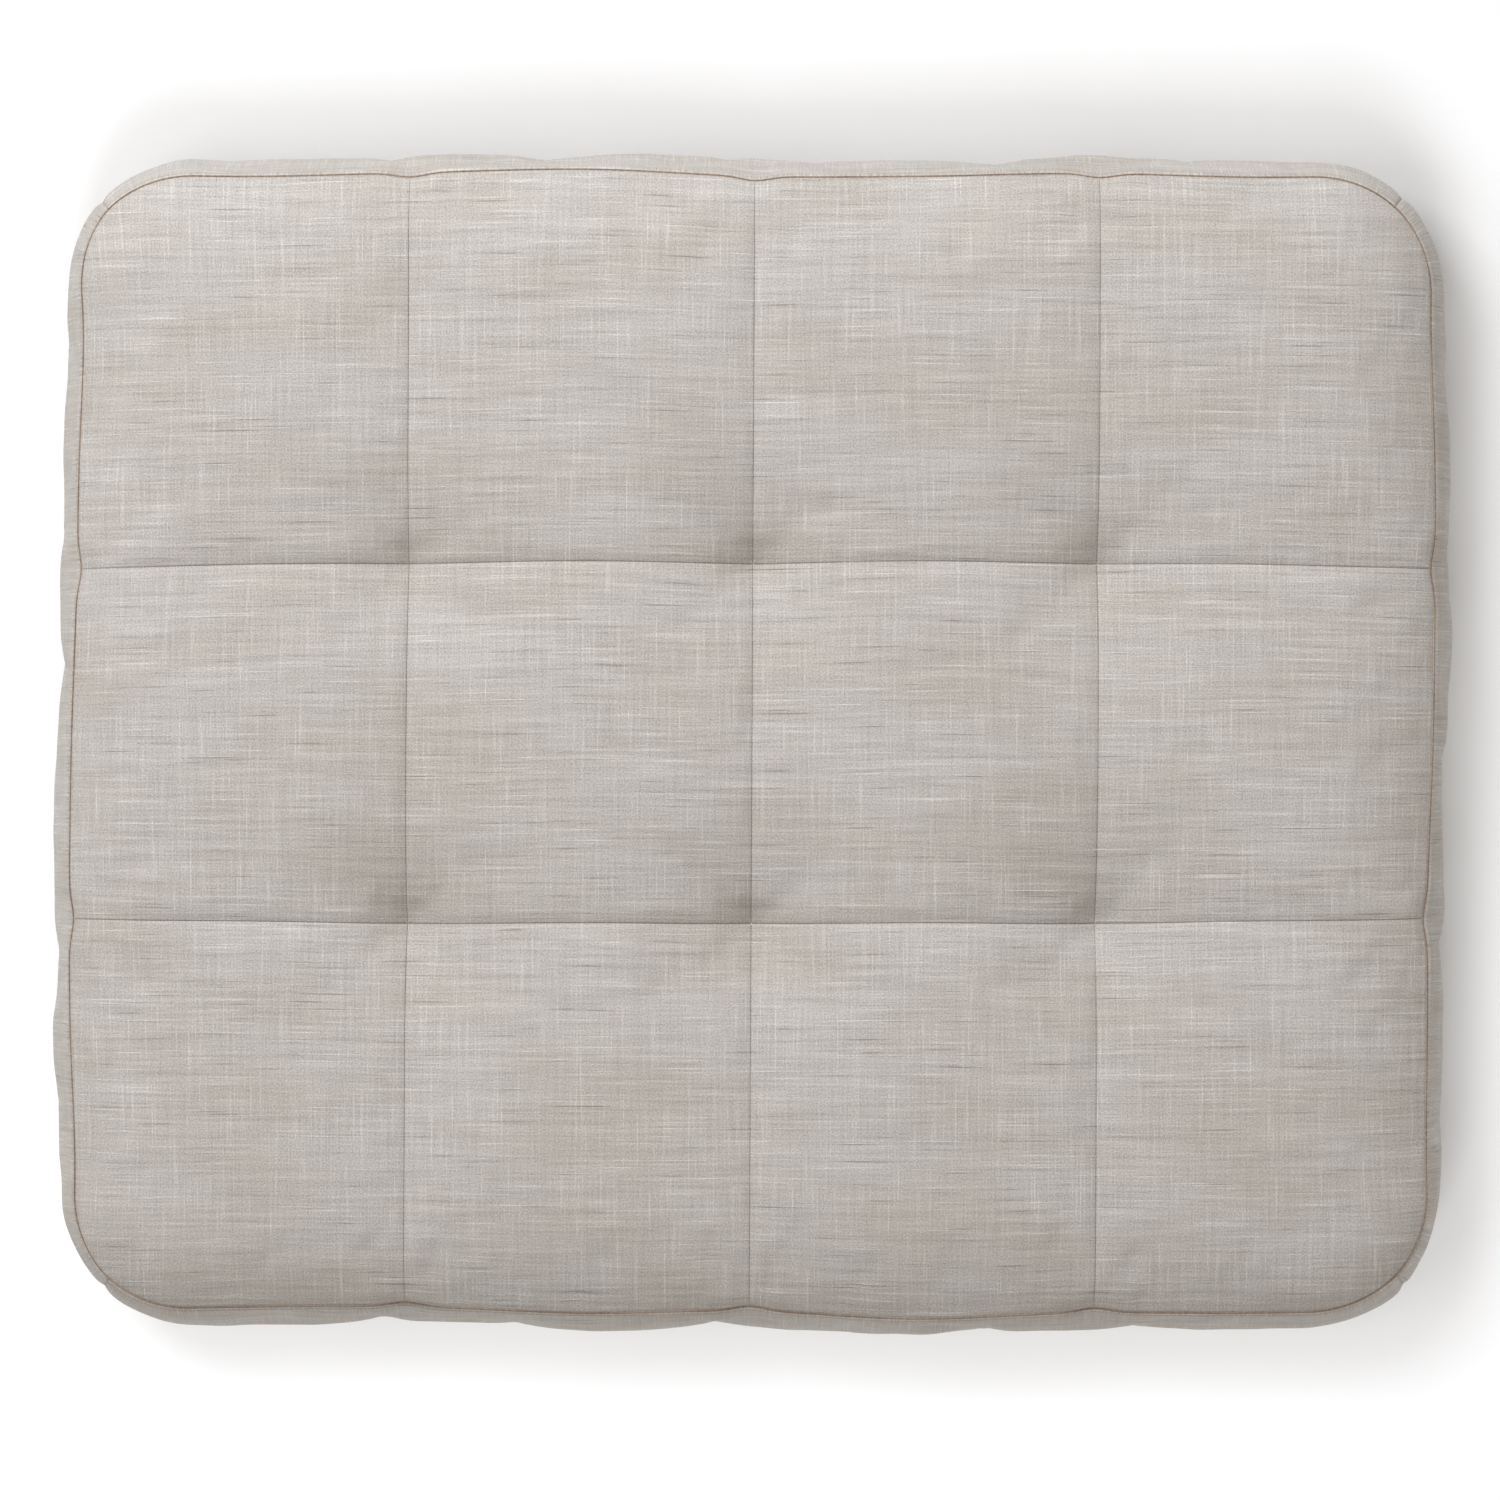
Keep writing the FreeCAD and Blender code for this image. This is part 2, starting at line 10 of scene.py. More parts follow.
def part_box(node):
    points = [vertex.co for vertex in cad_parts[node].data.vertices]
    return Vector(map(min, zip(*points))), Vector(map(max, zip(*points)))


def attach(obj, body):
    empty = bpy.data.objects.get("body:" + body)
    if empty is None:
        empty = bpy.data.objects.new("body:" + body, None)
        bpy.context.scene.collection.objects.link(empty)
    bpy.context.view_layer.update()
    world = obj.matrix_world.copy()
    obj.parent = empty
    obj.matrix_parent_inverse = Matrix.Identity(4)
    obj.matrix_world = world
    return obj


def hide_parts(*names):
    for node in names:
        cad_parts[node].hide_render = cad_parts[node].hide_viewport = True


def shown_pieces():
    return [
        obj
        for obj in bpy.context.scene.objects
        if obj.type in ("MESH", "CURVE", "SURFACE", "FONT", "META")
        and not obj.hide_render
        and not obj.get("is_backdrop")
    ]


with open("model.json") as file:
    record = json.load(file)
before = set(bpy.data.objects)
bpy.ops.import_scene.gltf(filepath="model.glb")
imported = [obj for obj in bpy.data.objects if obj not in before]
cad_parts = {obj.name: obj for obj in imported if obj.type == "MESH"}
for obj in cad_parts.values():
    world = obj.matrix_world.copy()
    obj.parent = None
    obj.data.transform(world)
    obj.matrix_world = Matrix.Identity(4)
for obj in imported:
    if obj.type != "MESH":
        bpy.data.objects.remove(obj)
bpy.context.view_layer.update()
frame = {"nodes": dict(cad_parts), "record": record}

# The object's plan, read from the CAD model, in millimetres. MM turns them into metres.
MM = 0.001


def edge_of(node, axis, high=True):
    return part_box(node)[1 if high else 0][axis] / MM


def middle_of(node, axis):
    low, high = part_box(node)
    return (low[axis] + high[axis]) / 2 / MM


HALF_X = edge_of("side_strip_right", 0)
SEAM_Z = edge_of("side_strip_right", 2)
THREAD_RADIUS = 0.4
SEAM_X = edge_of("top_seam_thread", 0) - THREAD_RADIUS
SEAM_Y = edge_of("top_seam_thread", 1) - THREAD_RADIUS
CORNER_RADIUS = 62.0
SEAM_RADIUS = CORNER_RADIUS - (HALF_X - SEAM_X)
COLUMN_SEAMS = [middle_of(f"column_seam_thread_{i}", 0) for i in (1, 2, 3)]
ROW_SEAMS = [middle_of(f"row_seam_threads_{i}", 1) for i in (1, 2)]
COLUMN_LINES = [-SEAM_X, *COLUMN_SEAMS, SEAM_X]
ROW_LINES = [-SEAM_Y, *ROW_SEAMS, SEAM_Y]
TUFTS = [(x, y) for y in ROW_SEAMS for x in COLUMN_SEAMS]
ZIP_Z = middle_of("zip_stop_closed", 2)

# Top surface
GRID_Z = 91.5  # the top's height away from the edge and the tufts, without the crowns
CROWN = 2.4  # each panel's middle is this much higher
EDGE_RISE = 13.0  # the top has made 63% of its rise this far in from the edge seam
TUFT_DIP = 20.5
SHALLOW_TUFT = 0.82  # the back left tuft is drawn down this much less
TUFT_SPREAD = 24.0
TUFT_ROUND = 3.5
SEAM_SINK = 1.6  # the seams are drawn down beside each tuft
SINK_WIDTH = 9.0
SINK_REACH = 42.0
GROOVE = 1.15  # how far the cover turns down into a grid seam beside a tuft
GROOVE_WIDTH = 2.1
GROOVE_FAR = 0.6  # share of that depth that is left away from the tufts
GROOVE_REACH = 36.0
GROOVE_END = 6.0  # the grooves fade out over this last stretch to the edge seam
COVER = 1.2  # thickness of the cloth

# Uneven hand sewing: how far each side swells, at even steps from left to right or front to back
SWELL_LEFT = [1.7, -0.3, 1.8, 2.0, 1.2, -0.8, -2.1, -3.8, 1.7]
SWELL_RIGHT = [0.7, -1.6, -1.2, -1.0, 1.2, 2.0, 2.0, 0.3, 1.7]
SWELL_BACK = [1.9, 0.6, 2.3, 3.6, 0.6, 0.6, 1.9, 0.2, 1.4]
SWELL_FRONT = [0.8, -1.4, -1.4, 1.2, 0.3, 3.7, 1.2, 1.2, -0.2]
NOTCH = 1.8  # how far a grid seam pulls the edge seam in
NOTCH_WIDTH = 9.0
COLUMN_LEAN = 1.2  # the columns lean this far to the right at the back, and to the left at the front
COLUMN_PULL = 2.7  # the outer columns sit this much nearer the middle
ROW_BOW = 0.8  # a row seam bows this far back between two tufts
ROW_CLOSE = 2.3  # the rows run together by this much towards the left and right edges


# ---------------- surfaces, in numpy


def spline(values, t):
    """A smooth curve through evenly spaced values, for t from 0 to 1."""
    v = np.asarray(values, float)
    v = np.concatenate([[2 * v[0] - v[1]], v, [2 * v[-1] - v[-2]]])
    place = np.clip(t, 0, 1) * (len(values) - 1)
    i = np.minimum(place.astype(int), len(values) - 2)
    f = place - i
    a, b, c, d = v[i], v[i + 1], v[i + 2], v[i + 3]
    return b + 0.5 * f * (c - a + f * (2 * a - 5 * b + 4 * c - d + f * (3 * (b - c) + d - a)))


def ripples(seed, count, shortest, longest):
    """A smooth random function of one length, made of sine waves of these wavelengths."""
    source = random.Random(seed)
    waves = [
        (source.uniform(shortest, longest), source.uniform(0, math.tau), source.uniform(0.5, 1))
        for _ in range(count)
    ]
    total = math.sqrt(sum(size**2 for _, _, size in waves) / 2)

    def value(s):
        return sum(size * np.sin(math.tau * s / length + start) for length, start, size in waves) / total

    return value


def round_corners(a, b, radius_x=SEAM_X - SEAM_RADIUS, radius_y=SEAM_Y - SEAM_RADIUS):
    """Turns a rectangle's square corners into quarter circles, and gives the outward angle."""
    ca, cb = np.abs(a) - radius_x, np.abs(b) - radius_y
    corner = (ca > 0) & (cb > 0)
    far = np.where(corner, np.maximum(ca, cb), 1.0)
    small = np.where(corner, np.minimum(ca, cb), 0.0)
    lean = 0.25 * math.pi * small / far
    angle = np.where(ca >= cb, lean, 0.5 * math.pi - lean)
    x = np.where(corner, np.sign(a) * (radius_x + far * np.cos(angle)), a)
    y = np.where(corner, np.sign(b) * (radius_y + far * np.sin(angle)), b)
    straight = np.where(ca / SEAM_RADIUS >= cb / SEAM_RADIUS, 0.0, 0.5 * math.pi)
    angle = np.where(corner, angle, straight)
    return x, y, np.sign(a) * np.cos(angle), np.sign(b) * np.sin(angle)


def swell(x, y):
    """How far the uneven sewing moves each point, most at the edge."""
    tx, ty = (x + SEAM_X) / (2 * SEAM_X), (y + SEAM_Y) / (2 * SEAM_Y)
    wx, wy = np.clip(np.abs(x) / SEAM_X, 0, 1) ** 4, np.clip(np.abs(y) / SEAM_Y, 0, 1) ** 4
    dx = np.where(x < 0, -spline(SWELL_LEFT, ty), spline(SWELL_RIGHT, ty)) * wx
    dy = np.where(y < 0, -spline(SWELL_FRONT, tx), spline(SWELL_BACK, tx)) * wy
    return dx, dy


def notches(x, y):
    """How far the grid seams pull the edge seam in, towards the middle."""
    pull_y = sum(np.exp(-(((x - c) / NOTCH_WIDTH) ** 2)) for c in COLUMN_SEAMS)
    pull_x = sum(np.exp(-(((y - r) / NOTCH_WIDTH) ** 2)) for r in ROW_SEAMS)
    wx, wy = np.clip(np.abs(x) / SEAM_X, 0, 1) ** 40, np.clip(np.abs(y) / SEAM_Y, 0, 1) ** 40
    return -np.sign(x) * NOTCH * pull_x * wx, -np.sign(y) * NOTCH * pull_y * wy


def drift(x, y):
    """The grid seams are not sewn quite straight."""
    inside_x = 1 - np.clip(np.abs(x) / SEAM_X, 0, 1) ** 4
    inside_y = 1 - np.clip(np.abs(y) / SEAM_Y, 0, 1) ** 4
    dx = COLUMN_LEAN * y / SEAM_Y * inside_x - COLUMN_PULL * np.sin(math.pi * x / SEAM_X)
    bow = ROW_BOW * np.sin(math.pi * between_lines(x, COLUMN_LINES)) ** 2
    outward = np.clip((np.abs(x) - COLUMN_SEAMS[2]) / (SEAM_X - COLUMN_SEAMS[2]), 0, 1)
    row = ROW_SEAMS[1]
    inner, outer = np.sin(0.5 * math.pi * np.abs(y) / row), (SEAM_Y - np.abs(y)) / (SEAM_Y - row)
    near_row = np.where(np.abs(y) < row, inner, outer)
    close = -np.sign(y) * ROW_CLOSE * outward * near_row
    return dx, bow * inside_y * (1 - outward) + close


def plan(a, b):
    """Where a point of the flat-sewn top lies in plan."""
    x, y, nx, ny = round_corners(a, b)
    sx, sy = swell(x, y)
    px, py = notches(x, y)
    dx, dy = drift(a, b)
    return x + sx + px + dx, y + sy + py + dy, nx, ny


def flat_place(x, y):
    """The point of the flat-sewn top that ends up over a point well inside the edge."""
    a, b = x, y
    for _ in range(4):
        (dx, dy), (sx, sy) = drift(a, b), swell(a, b)
        a, b = x - dx - sx, y - dy - sy
    return a, b


def pillow(t):
    return 1 - np.abs(2 * t - 1) ** 2.4


def between_lines(value, lines):
    """How far through its panel a value is, from 0 to 1."""
    lines = np.asarray(lines)
    i = np.clip(np.searchsorted(lines, value, side="right") - 1, 0, len(lines) - 2)
    return (value - lines[i]) / (lines[i + 1] - lines[i])


def from_line(value, lines):
    return np.min([np.abs(value - line) for line in lines], axis=0)


def edge_distance(a, b):
    ca, cb = SEAM_X - np.abs(a), SEAM_Y - np.abs(b)
    return np.maximum(np.minimum(ca, cb), 0)


def top_z(a, b):
    """Height of the cover's outer face above the floor."""
    inward = edge_distance(a, b)
    z = SEAM_Z + (GRID_Z - SEAM_Z) * (1 - np.exp(-inward / EDGE_RISE))
    z = z + CROWN * pillow(between_lines(a, COLUMN_LINES)) * pillow(between_lines(b, ROW_LINES))
    near_column, near_row = from_line(a, COLUMN_SEAMS), from_line(b, ROW_SEAMS)
    for x, y in TUFTS:
        away = np.sqrt((a - x) ** 2 + (b - y) ** 2 + TUFT_ROUND**2)
        beside = np.exp(-near_column / SINK_WIDTH) + np.exp(-near_row / SINK_WIDTH)
        z = z - SEAM_SINK * beside * np.exp(-away / SINK_REACH)
        share = SHALLOW_TUFT if x < -100 and y > 0 else 1.0
        z = z - TUFT_DIP * share * np.exp(-away / TUFT_SPREAD)
    return z


def groove(a, b):
    """How far the cover turns down into the grid seams."""
    near = np.minimum(from_line(a, COLUMN_SEAMS), from_line(b, ROW_SEAMS))
    fade = np.clip(edge_distance(a, b) / GROOVE_END, 0, 1)
    to_tuft = np.min([np.hypot(a - x, b - y) for x, y in TUFTS], axis=0)
    depth = GROOVE * (GROOVE_FAR + (1 - GROOVE_FAR) * np.exp(-((to_tuft / GROOVE_REACH) ** 2)))
    return depth * np.exp(-near / GROOVE_WIDTH) * fade


# ---------------- meshes


def make_mesh(name, points, faces, uv=None, painted_tuft_shade=None):
    """An object from points in millimetres, with a flat-cloth map in metres."""
    mesh = bpy.data.meshes.new(name)
    mesh.from_pydata((np.asarray(points) * MM).tolist(), [], faces)
    if uv is not None:
        layer = mesh.uv_layers.new(name="cloth")
        corner_points = np.empty(len(mesh.loops), int)
        mesh.loops.foreach_get("vertex_index", corner_points)
        layer.data.foreach_set("uv", (np.asarray(uv)[corner_points] * MM).ravel())
    # the share of painted tuft shade, kept as a point attribute for the material
    if painted_tuft_shade is not None:
        mesh.attributes.new("painted_tuft_shade", "FLOAT", "POINT").data.foreach_set("value", np.ravel(painted_tuft_shade))
    mesh.polygons.foreach_set("use_smooth", [True] * len(mesh.polygons))
    mesh.validate()
    mesh.update()
    obj = bpy.data.objects.new(name, mesh)
    bpy.context.scene.collection.objects.link(obj)
    return obj


def sheet_faces(rows, columns, start=0, flip=False, closed=False):
    """Quads of a grid stored row by row."""
    faces = []
    for i in range(rows - 1):
        for j in range(columns if closed else columns - 1):
            k = (j + 1) % columns
            quad = (
                start + i * columns + j,
                start + i * columns + k,
                start + (i + 1) * columns + k,
                start + (i + 1) * columns + j,
            )
            faces.append(quad[::-1] if flip else quad)
    return faces


def shell(name, outer, inner, uv, painted_tuft_shade=None):
    """A closed sheet between two grids of points of the same shape (rows, columns, 3)."""
    rows, columns = outer.shape[:2]
    count = rows * columns
    points = np.concatenate([outer.reshape(-1, 3), inner.reshape(-1, 3)])
    faces = sheet_faces(rows, columns) + sheet_faces(rows, columns, count, flip=True)
    rim = list(range(columns))
    rim += [i * columns + columns - 1 for i in range(1, rows)]
    rim += [(rows - 1) * columns + j for j in range(columns - 2, -1, -1)]
    rim += [i * columns for i in range(rows - 2, 0, -1)]
    for here, there in zip(rim, rim[1:] + rim[:1]):
        faces.append((there, here, here + count, there + count))
    flat = uv.reshape(-1, 2)
    # painted tuft shade for each point, none unless given
    if painted_tuft_shade is None:
        painted_tuft_shade = np.zeros(outer.shape[:2])
    painted_tuft_shade = np.concatenate([painted_tuft_shade.ravel(), painted_tuft_shade.ravel()])
    return make_mesh(name, points, faces, np.concatenate([flat, flat]), painted_tuft_shade=painted_tuft_shade)


def spread(low, high, count, ends=0.85):
    """Values from low to high, closer together near both ends."""
    t = np.linspace(0, 1, count)
    t = t - ends * np.sin(math.tau * t) / math.tau
    return low + (high - low) * t


def own(piece, node_names, slot_name, body="pad"):
    """Hides the CAD nodes that a piece stands for, hangs the piece from its body and paints it with its
    finish.
    """
    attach(piece, body)
    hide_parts(*node_names)
    paint(piece, slot_name)


# ---------------- materials


class Nodes:
    """Short names for building a material's node tree."""

    def __init__(self, name):
        self.material = bpy.data.materials.new(name)
        self.material.use_nodes = True
        self.tree = self.material.node_tree
        self.surface = self.tree.nodes["Principled BSDF"]

    def new(self, kind, **settings):
        node = self.tree.nodes.new(kind)
        for key, value in settings.items():
            setattr(node, key, value)
        return node

    def join(self, source, target):
        self.tree.links.new(source, target)

    def put(self, socket, value):
        if hasattr(value, "is_output"):
            self.join(value, socket)
        else:
            socket.default_value = value

    def math(self, operation, a, b=0.0, clamp=False):
        node = self.new("ShaderNodeMath", operation=operation, use_clamp=clamp)
        self.put(node.inputs[0], a)
        self.put(node.inputs[1], b)
        return node.outputs[0]

    def stretched(self, source, scale, offset=(0.0, 0.0, 0.0)):
        node = self.new("ShaderNodeMapping")
        self.join(source, node.inputs["Vector"])
        node.inputs["Scale"].default_value = scale
        node.inputs["Location"].default_value = offset
        return node.outputs[0]

    def noise(self, source, scale, offset=(0.0, 0.0, 0.0), detail=2.0, roughness=0.5):
        node = self.new("ShaderNodeTexNoise")
        self.join(self.stretched(source, scale, offset), node.inputs["Vector"])
        node.inputs["Scale"].default_value = 1.0
        node.inputs["Detail"].default_value = detail
        node.inputs["Roughness"].default_value = roughness
        return node.outputs["Fac"]

    def between(self, value, low, high, out_low=0.0, out_high=1.0):
        node = self.new("ShaderNodeMapRange", interpolation_type="SMOOTHSTEP")
        self.put(node.inputs["Value"], value)
        node.inputs["From Min"].default_value = low
        node.inputs["From Max"].default_value = high
        node.inputs["To Min"].default_value = out_low
        node.inputs["To Max"].default_value = out_high
        return node.outputs["Result"]

    def mix(self, factor, a, b, blend="MIX"):
        node = self.new("ShaderNodeMix", data_type="RGBA", blend_type=blend)
        self.put(node.inputs["Factor"], factor)
        self.put(node.inputs[6], a)
        self.put(node.inputs[7], b)
        return node.outputs[2]

    def bump(self, height, distance, strength=1.0):
        node = self.new("ShaderNodeBump")
        node.inputs["Strength"].default_value = strength
        node.inputs["Distance"].default_value = distance
        self.join(height, node.inputs["Height"])
        self.join(node.outputs["Normal"], self.surface.inputs["Normal"])


def colour(r, g, b):
    """A linear colour from sRGB values out of 255."""
    linear = [((c / 255 + 0.055) / 1.055) ** 2.4 if c > 10 else c / 255 / 12.92 for c in (r, g, b)]
    return (*linear, 1.0)


WEFT_PITCH = 0.00050  # metres from thread to thread
WARP_PITCH = 0.00060


def linen(name, base):
    """Slub linen: each weft thread along U has its own long dark and light slubs, and each warp
    thread along V is finer and paler. Broad patches drift from pinkish to greenish."""
    n = Nodes(name)
    cloth = n.new("ShaderNodeUVMap", uv_map="cloth").outputs["UV"]
    split = n.new("ShaderNodeSeparateXYZ")
    n.join(cloth, split.inputs[0])
    u, v = split.outputs["X"], split.outputs["Y"]
    r, g, b = base

    patch = n.noise(cloth, (11, 26, 1), (3.1, 7.7, 0), detail=4, roughness=0.6)
    tint = n.mix(n.between(patch, 0.36, 0.64), colour(r - 3, g - 5, b - 7), colour(r + 2, g + 2, b + 2))

    def threads(across, along, pitch, seed, wander_scale):
        """(a random value per thread that drifts along it, the thread's round profile)"""
        wander = n.noise(cloth, (wander_scale, wander_scale, 1), (seed, seed, 0), detail=1)
        place = n.math("ADD", n.math("DIVIDE", across, pitch), n.math("MULTIPLY", wander, 0.6))
        number = n.math("FLOOR", place)
        joined = n.new("ShaderNodeCombineXYZ")
        n.join(along, joined.inputs[0])
        n.join(number, joined.inputs[1])
        profile = n.math("ABSOLUTE", n.math("SINE", n.math("MULTIPLY", place, math.pi)))
        return joined.outputs[0], profile

    weft_at, weft_round = threads(v, u, WEFT_PITCH, 1.7, 14)
    warp_at, warp_round = threads(u, v, WARP_PITCH, 6.1, 14)
    weft = n.noise(weft_at, (26, 7.31, 1), (0.3, 0.5, 0), detail=2, roughness=0.5)
    warp = n.noise(warp_at, (30, 6.73, 1), (4.3, 9.5, 0), detail=2, roughness=0.5)
    group = n.noise(cloth, (15, 260, 1), (1.3, 5.9, 0), detail=3)
    grain = n.noise(cloth, (1500, 1500, 1), (2.2, 3.3, 0), detail=1)
    dark = n.between(weft, 0.64, 0.78)
    light = n.between(weft, 0.40, 0.24)
    pale = n.between(warp, 0.58, 0.74)

    tone = n.math("ADD", 1.0, n.math("MULTIPLY", n.math("SUBTRACT", 0.5, weft), 0.62))
    tone = n.math("ADD", tone, n.math("MULTIPLY", n.math("SUBTRACT", 0.5, group), 0.26))
    tone = n.math("ADD", tone, n.math("MULTIPLY", n.math("SUBTRACT", warp, 0.5), 0.34))
    tone = n.math("ADD", tone, n.math("MULTIPLY", n.math("SUBTRACT", grain, 0.5), 0.95))
    weave = n.math("MULTIPLY", weft_round, warp_round)
    tone = n.math("ADD", tone, n.math("MULTIPLY", n.math("SUBTRACT", weave, 0.4), 0.24))
    broken = n.between(grain, 0.30, 0.55, 0.35, 1.0)
    tint = n.mix(n.math("MULTIPLY", n.math("MULTIPLY", dark, broken), 0.54), tint, colour(132, 118, 106))
    tint = n.mix(n.math("MULTIPLY", light, 0.34), tint, colour(222, 219, 214))
    tint = n.mix(n.math("MULTIPLY", pale, 0.20), tint, colour(226, 223, 218))
    tint = n.mix(1.0, tint, tone, "MULTIPLY")
    # painted shade: the cloth is mixed towards brown round the tufts, most on the side facing away from the
    # light
    painted_tuft_shade = n.new("ShaderNodeAttribute", attribute_name="painted_tuft_shade").outputs["Fac"]
    tint = n.mix(n.math("MULTIPLY", painted_tuft_shade, 0.14), tint, colour(140, 120, 102))
    n.join(tint, n.surface.inputs["Base Color"])

    height = n.math("ADD", n.math("MAXIMUM", weft_round, warp_round), n.math("MULTIPLY", grain, 0.5))
    height = n.math("ADD", height, n.math("MULTIPLY", n.math("SUBTRACT", light, dark), 0.5))
    n.bump(height, 0.00018, 0.6)
    n.join(n.between(weave, 0.0, 1.0, 0.95, 0.82), n.surface.inputs["Roughness"])
    n.surface.inputs["Sheen Weight"].default_value = 0.10
    n.surface.inputs["Sheen Roughness"].default_value = 0.5
    n.surface.inputs["Specular IOR Level"].default_value = 0.18
    return n.material


def thread_material(name, base):
    """Twisted thread: a slanting ply pattern with some fuzz."""
    n = Nodes(name)
    here = n.new("ShaderNodeTexCoord").outputs["Object"]
    fuzz = n.noise(here, (2500, 2500, 2500), detail=3)
    length = n.noise(here, (40, 40, 40), (1.0, 2.0, 3.0), detail=2)
    r, g, b = base
    tint = n.mix(n.between(length, 0.35, 0.65), colour(r, g, b), colour(r + 24, g + 22, b + 20))
    tint = n.mix(n.between(fuzz, 0.4, 0.7, 0.0, 0.5), tint, colour(r * 0.6, g * 0.6, b * 0.6))
    n.join(tint, n.surface.inputs["Base Color"])
    n.bump(fuzz, 0.0002, 0.6)
    n.surface.inputs["Roughness"].default_value = 0.8
    n.surface.inputs["Specular IOR Level"].default_value = 0.2
    return n.material


def foam_material():
    n = Nodes("cut_foam")
    here = n.new("ShaderNodeTexCoord").outputs["Object"]
    cells = n.new("ShaderNodeTexVoronoi")
    n.join(n.stretched(here, (900, 900, 900)), cells.inputs["Vector"])
    cells.inputs["Scale"].default_value = 1.0
    pores = n.between(cells.outputs["Distance"], 0.1, 0.6)
    n.join(n.mix(pores, colour(196, 184, 148), colour(240, 232, 205)), n.surface.inputs["Base Color"])
    n.bump(pores, 0.0004, 0.8)
    n.surface.inputs["Roughness"].default_value = 0.95
    return n.material


def fibre_material():
    n = Nodes("polyester_fibre")
    here = n.new("ShaderNodeTexCoord").outputs["Object"]
    strands = n.noise(here, (260, 900, 500), detail=6, roughness=0.7)
    tint = n.mix(n.between(strands, 0.3, 0.7), colour(214, 214, 210), colour(248, 248, 246))
    n.join(tint, n.surface.inputs["Base Color"])
    n.bump(strands, 0.001, 0.8)
    n.surface.inputs["Roughness"].default_value = 0.9
    n.surface.inputs["Sheen Weight"].default_value = 0.3
    return n.material


def tape_material():
    n = Nodes("zip_tape")
    here = n.new("ShaderNodeTexCoord").outputs["Object"]
    split = n.new("ShaderNodeSeparateXYZ")
    n.join(here, split.inputs[0])
    ribs = n.math("SINE", n.math("MULTIPLY", split.outputs["X"], math.tau / 0.0008))
    rows = n.math("SINE", n.math("MULTIPLY", split.outputs["Z"], math.tau / 0.0011))
    twill = n.math("ADD", n.math("MULTIPLY", n.math("MULTIPLY", ribs, rows), 0.5), 0.5)
    n.join(n.mix(twill, colour(166, 158, 148), colour(194, 187, 178)), n.surface.inputs["Base Color"])
    n.bump(twill, 0.0002, 0.6)
    n.surface.inputs["Roughness"].default_value = 0.85
    return n.material


def nylon_material():
    n = Nodes("zip_nylon")
    here = n.new("ShaderNodeTexCoord").outputs["Object"]
    flow = n.noise(here, (300, 300, 300), detail=3)
    n.join(n.mix(flow, colour(186, 178, 166), colour(204, 197, 186)), n.surface.inputs["Base Color"])
    n.join(n.between(flow, 0.3, 0.7, 0.32, 0.48), n.surface.inputs["Roughness"])
    n.bump(flow, 0.00005, 0.3)
    return n.material


def metal_material():
    """Plated zip metal, brighter along scuffs."""
    n = Nodes("zip_metal")
    here = n.new("ShaderNodeTexCoord").outputs["Object"]
    scuffs = n.noise(here, (120, 900, 900), detail=5, roughness=0.7)
    tint = n.mix(n.between(scuffs, 0.4, 0.65), colour(168, 164, 158), colour(206, 203, 198))
    n.join(tint, n.surface.inputs["Base Color"])
    n.join(n.between(scuffs, 0.35, 0.65, 0.22, 0.42), n.surface.inputs["Roughness"])
    n.surface.inputs["Metallic"].default_value = 1.0
    n.bump(scuffs, 0.00003, 0.4)
    return n.material


LINEN_TONE = (191, 186, 180)
MATERIALS = {
    "top_linen": linen("linen_top", LINEN_TONE),
    "side_linen": linen("linen_side", LINEN_TONE),
    "bottom_linen": linen("linen_bottom", LINEN_TONE),
    "button_linen": linen("linen_button", LINEN_TONE),
    "brown_thread": thread_material("thread_brown", (140, 121, 103)),
    "seam_thread": thread_material("thread_taupe", (150, 140, 130)),
    "twine": thread_material("twine_waxed", (170, 158, 138)),
    "foam": foam_material(),
    "fibre": fibre_material(),
    "zip_tape": tape_material(),
    "zip_coil": nylon_material(),
    "zip_metal": metal_material(),
}


def paint(obj, slot_name):
    obj.data.materials.clear()
    obj.data.materials.append(MATERIALS[slot_name])


# ---------------- the cover, inflated as cloth

BAND_STEP = 2.2  # from point to point along the band


def perimeter(step=BAND_STEP):
    """Points of the seam's rectangle, anticlockwise from the middle of the right side."""
    corners = [(SEAM_X, SEAM_Y), (-SEAM_X, SEAM_Y), (-SEAM_X, -SEAM_Y), (SEAM_X, -SEAM_Y)]
    path = [(SEAM_X, 0.0), *corners, (SEAM_X, 0.0)]
    a, b = [], []
    for (x0, y0), (x1, y1) in zip(path, path[1:]):
        count = 2 * max(1, round(math.hypot(x1 - x0, y1 - y0) / step / 2))
        t = np.arange(count) / count
        a.append(x0 + (x1 - x0) * t)
        b.append(y0 + (y1 - y0) * t)
    return np.concatenate(a), np.concatenate(b)


edge_a, edge_b = perimeter()
edge_x, edge_y, edge_nx, edge_ny = plan(edge_a, edge_b)
steps = np.hypot(np.diff(edge_x, append=edge_x[0]), np.diff(edge_y, append=edge_y[0]))
edge_s = np.concatenate([[0], np.cumsum(steps)[:-1]])
LENGTH = float(steps.sum())
edge_notch = np.hypot(*notches(*round_corners(edge_a, edge_b)[:2]))


def side_of(a, b):
    """0 right, 1 back, 2 left, 3 front, changing at the middle of each corner."""
    across = SEAM_X - np.abs(a) <= SEAM_Y - np.abs(b)
    return np.where(across, np.where(a > 0, 0, 2), np.where(b > 0, 1, 3))


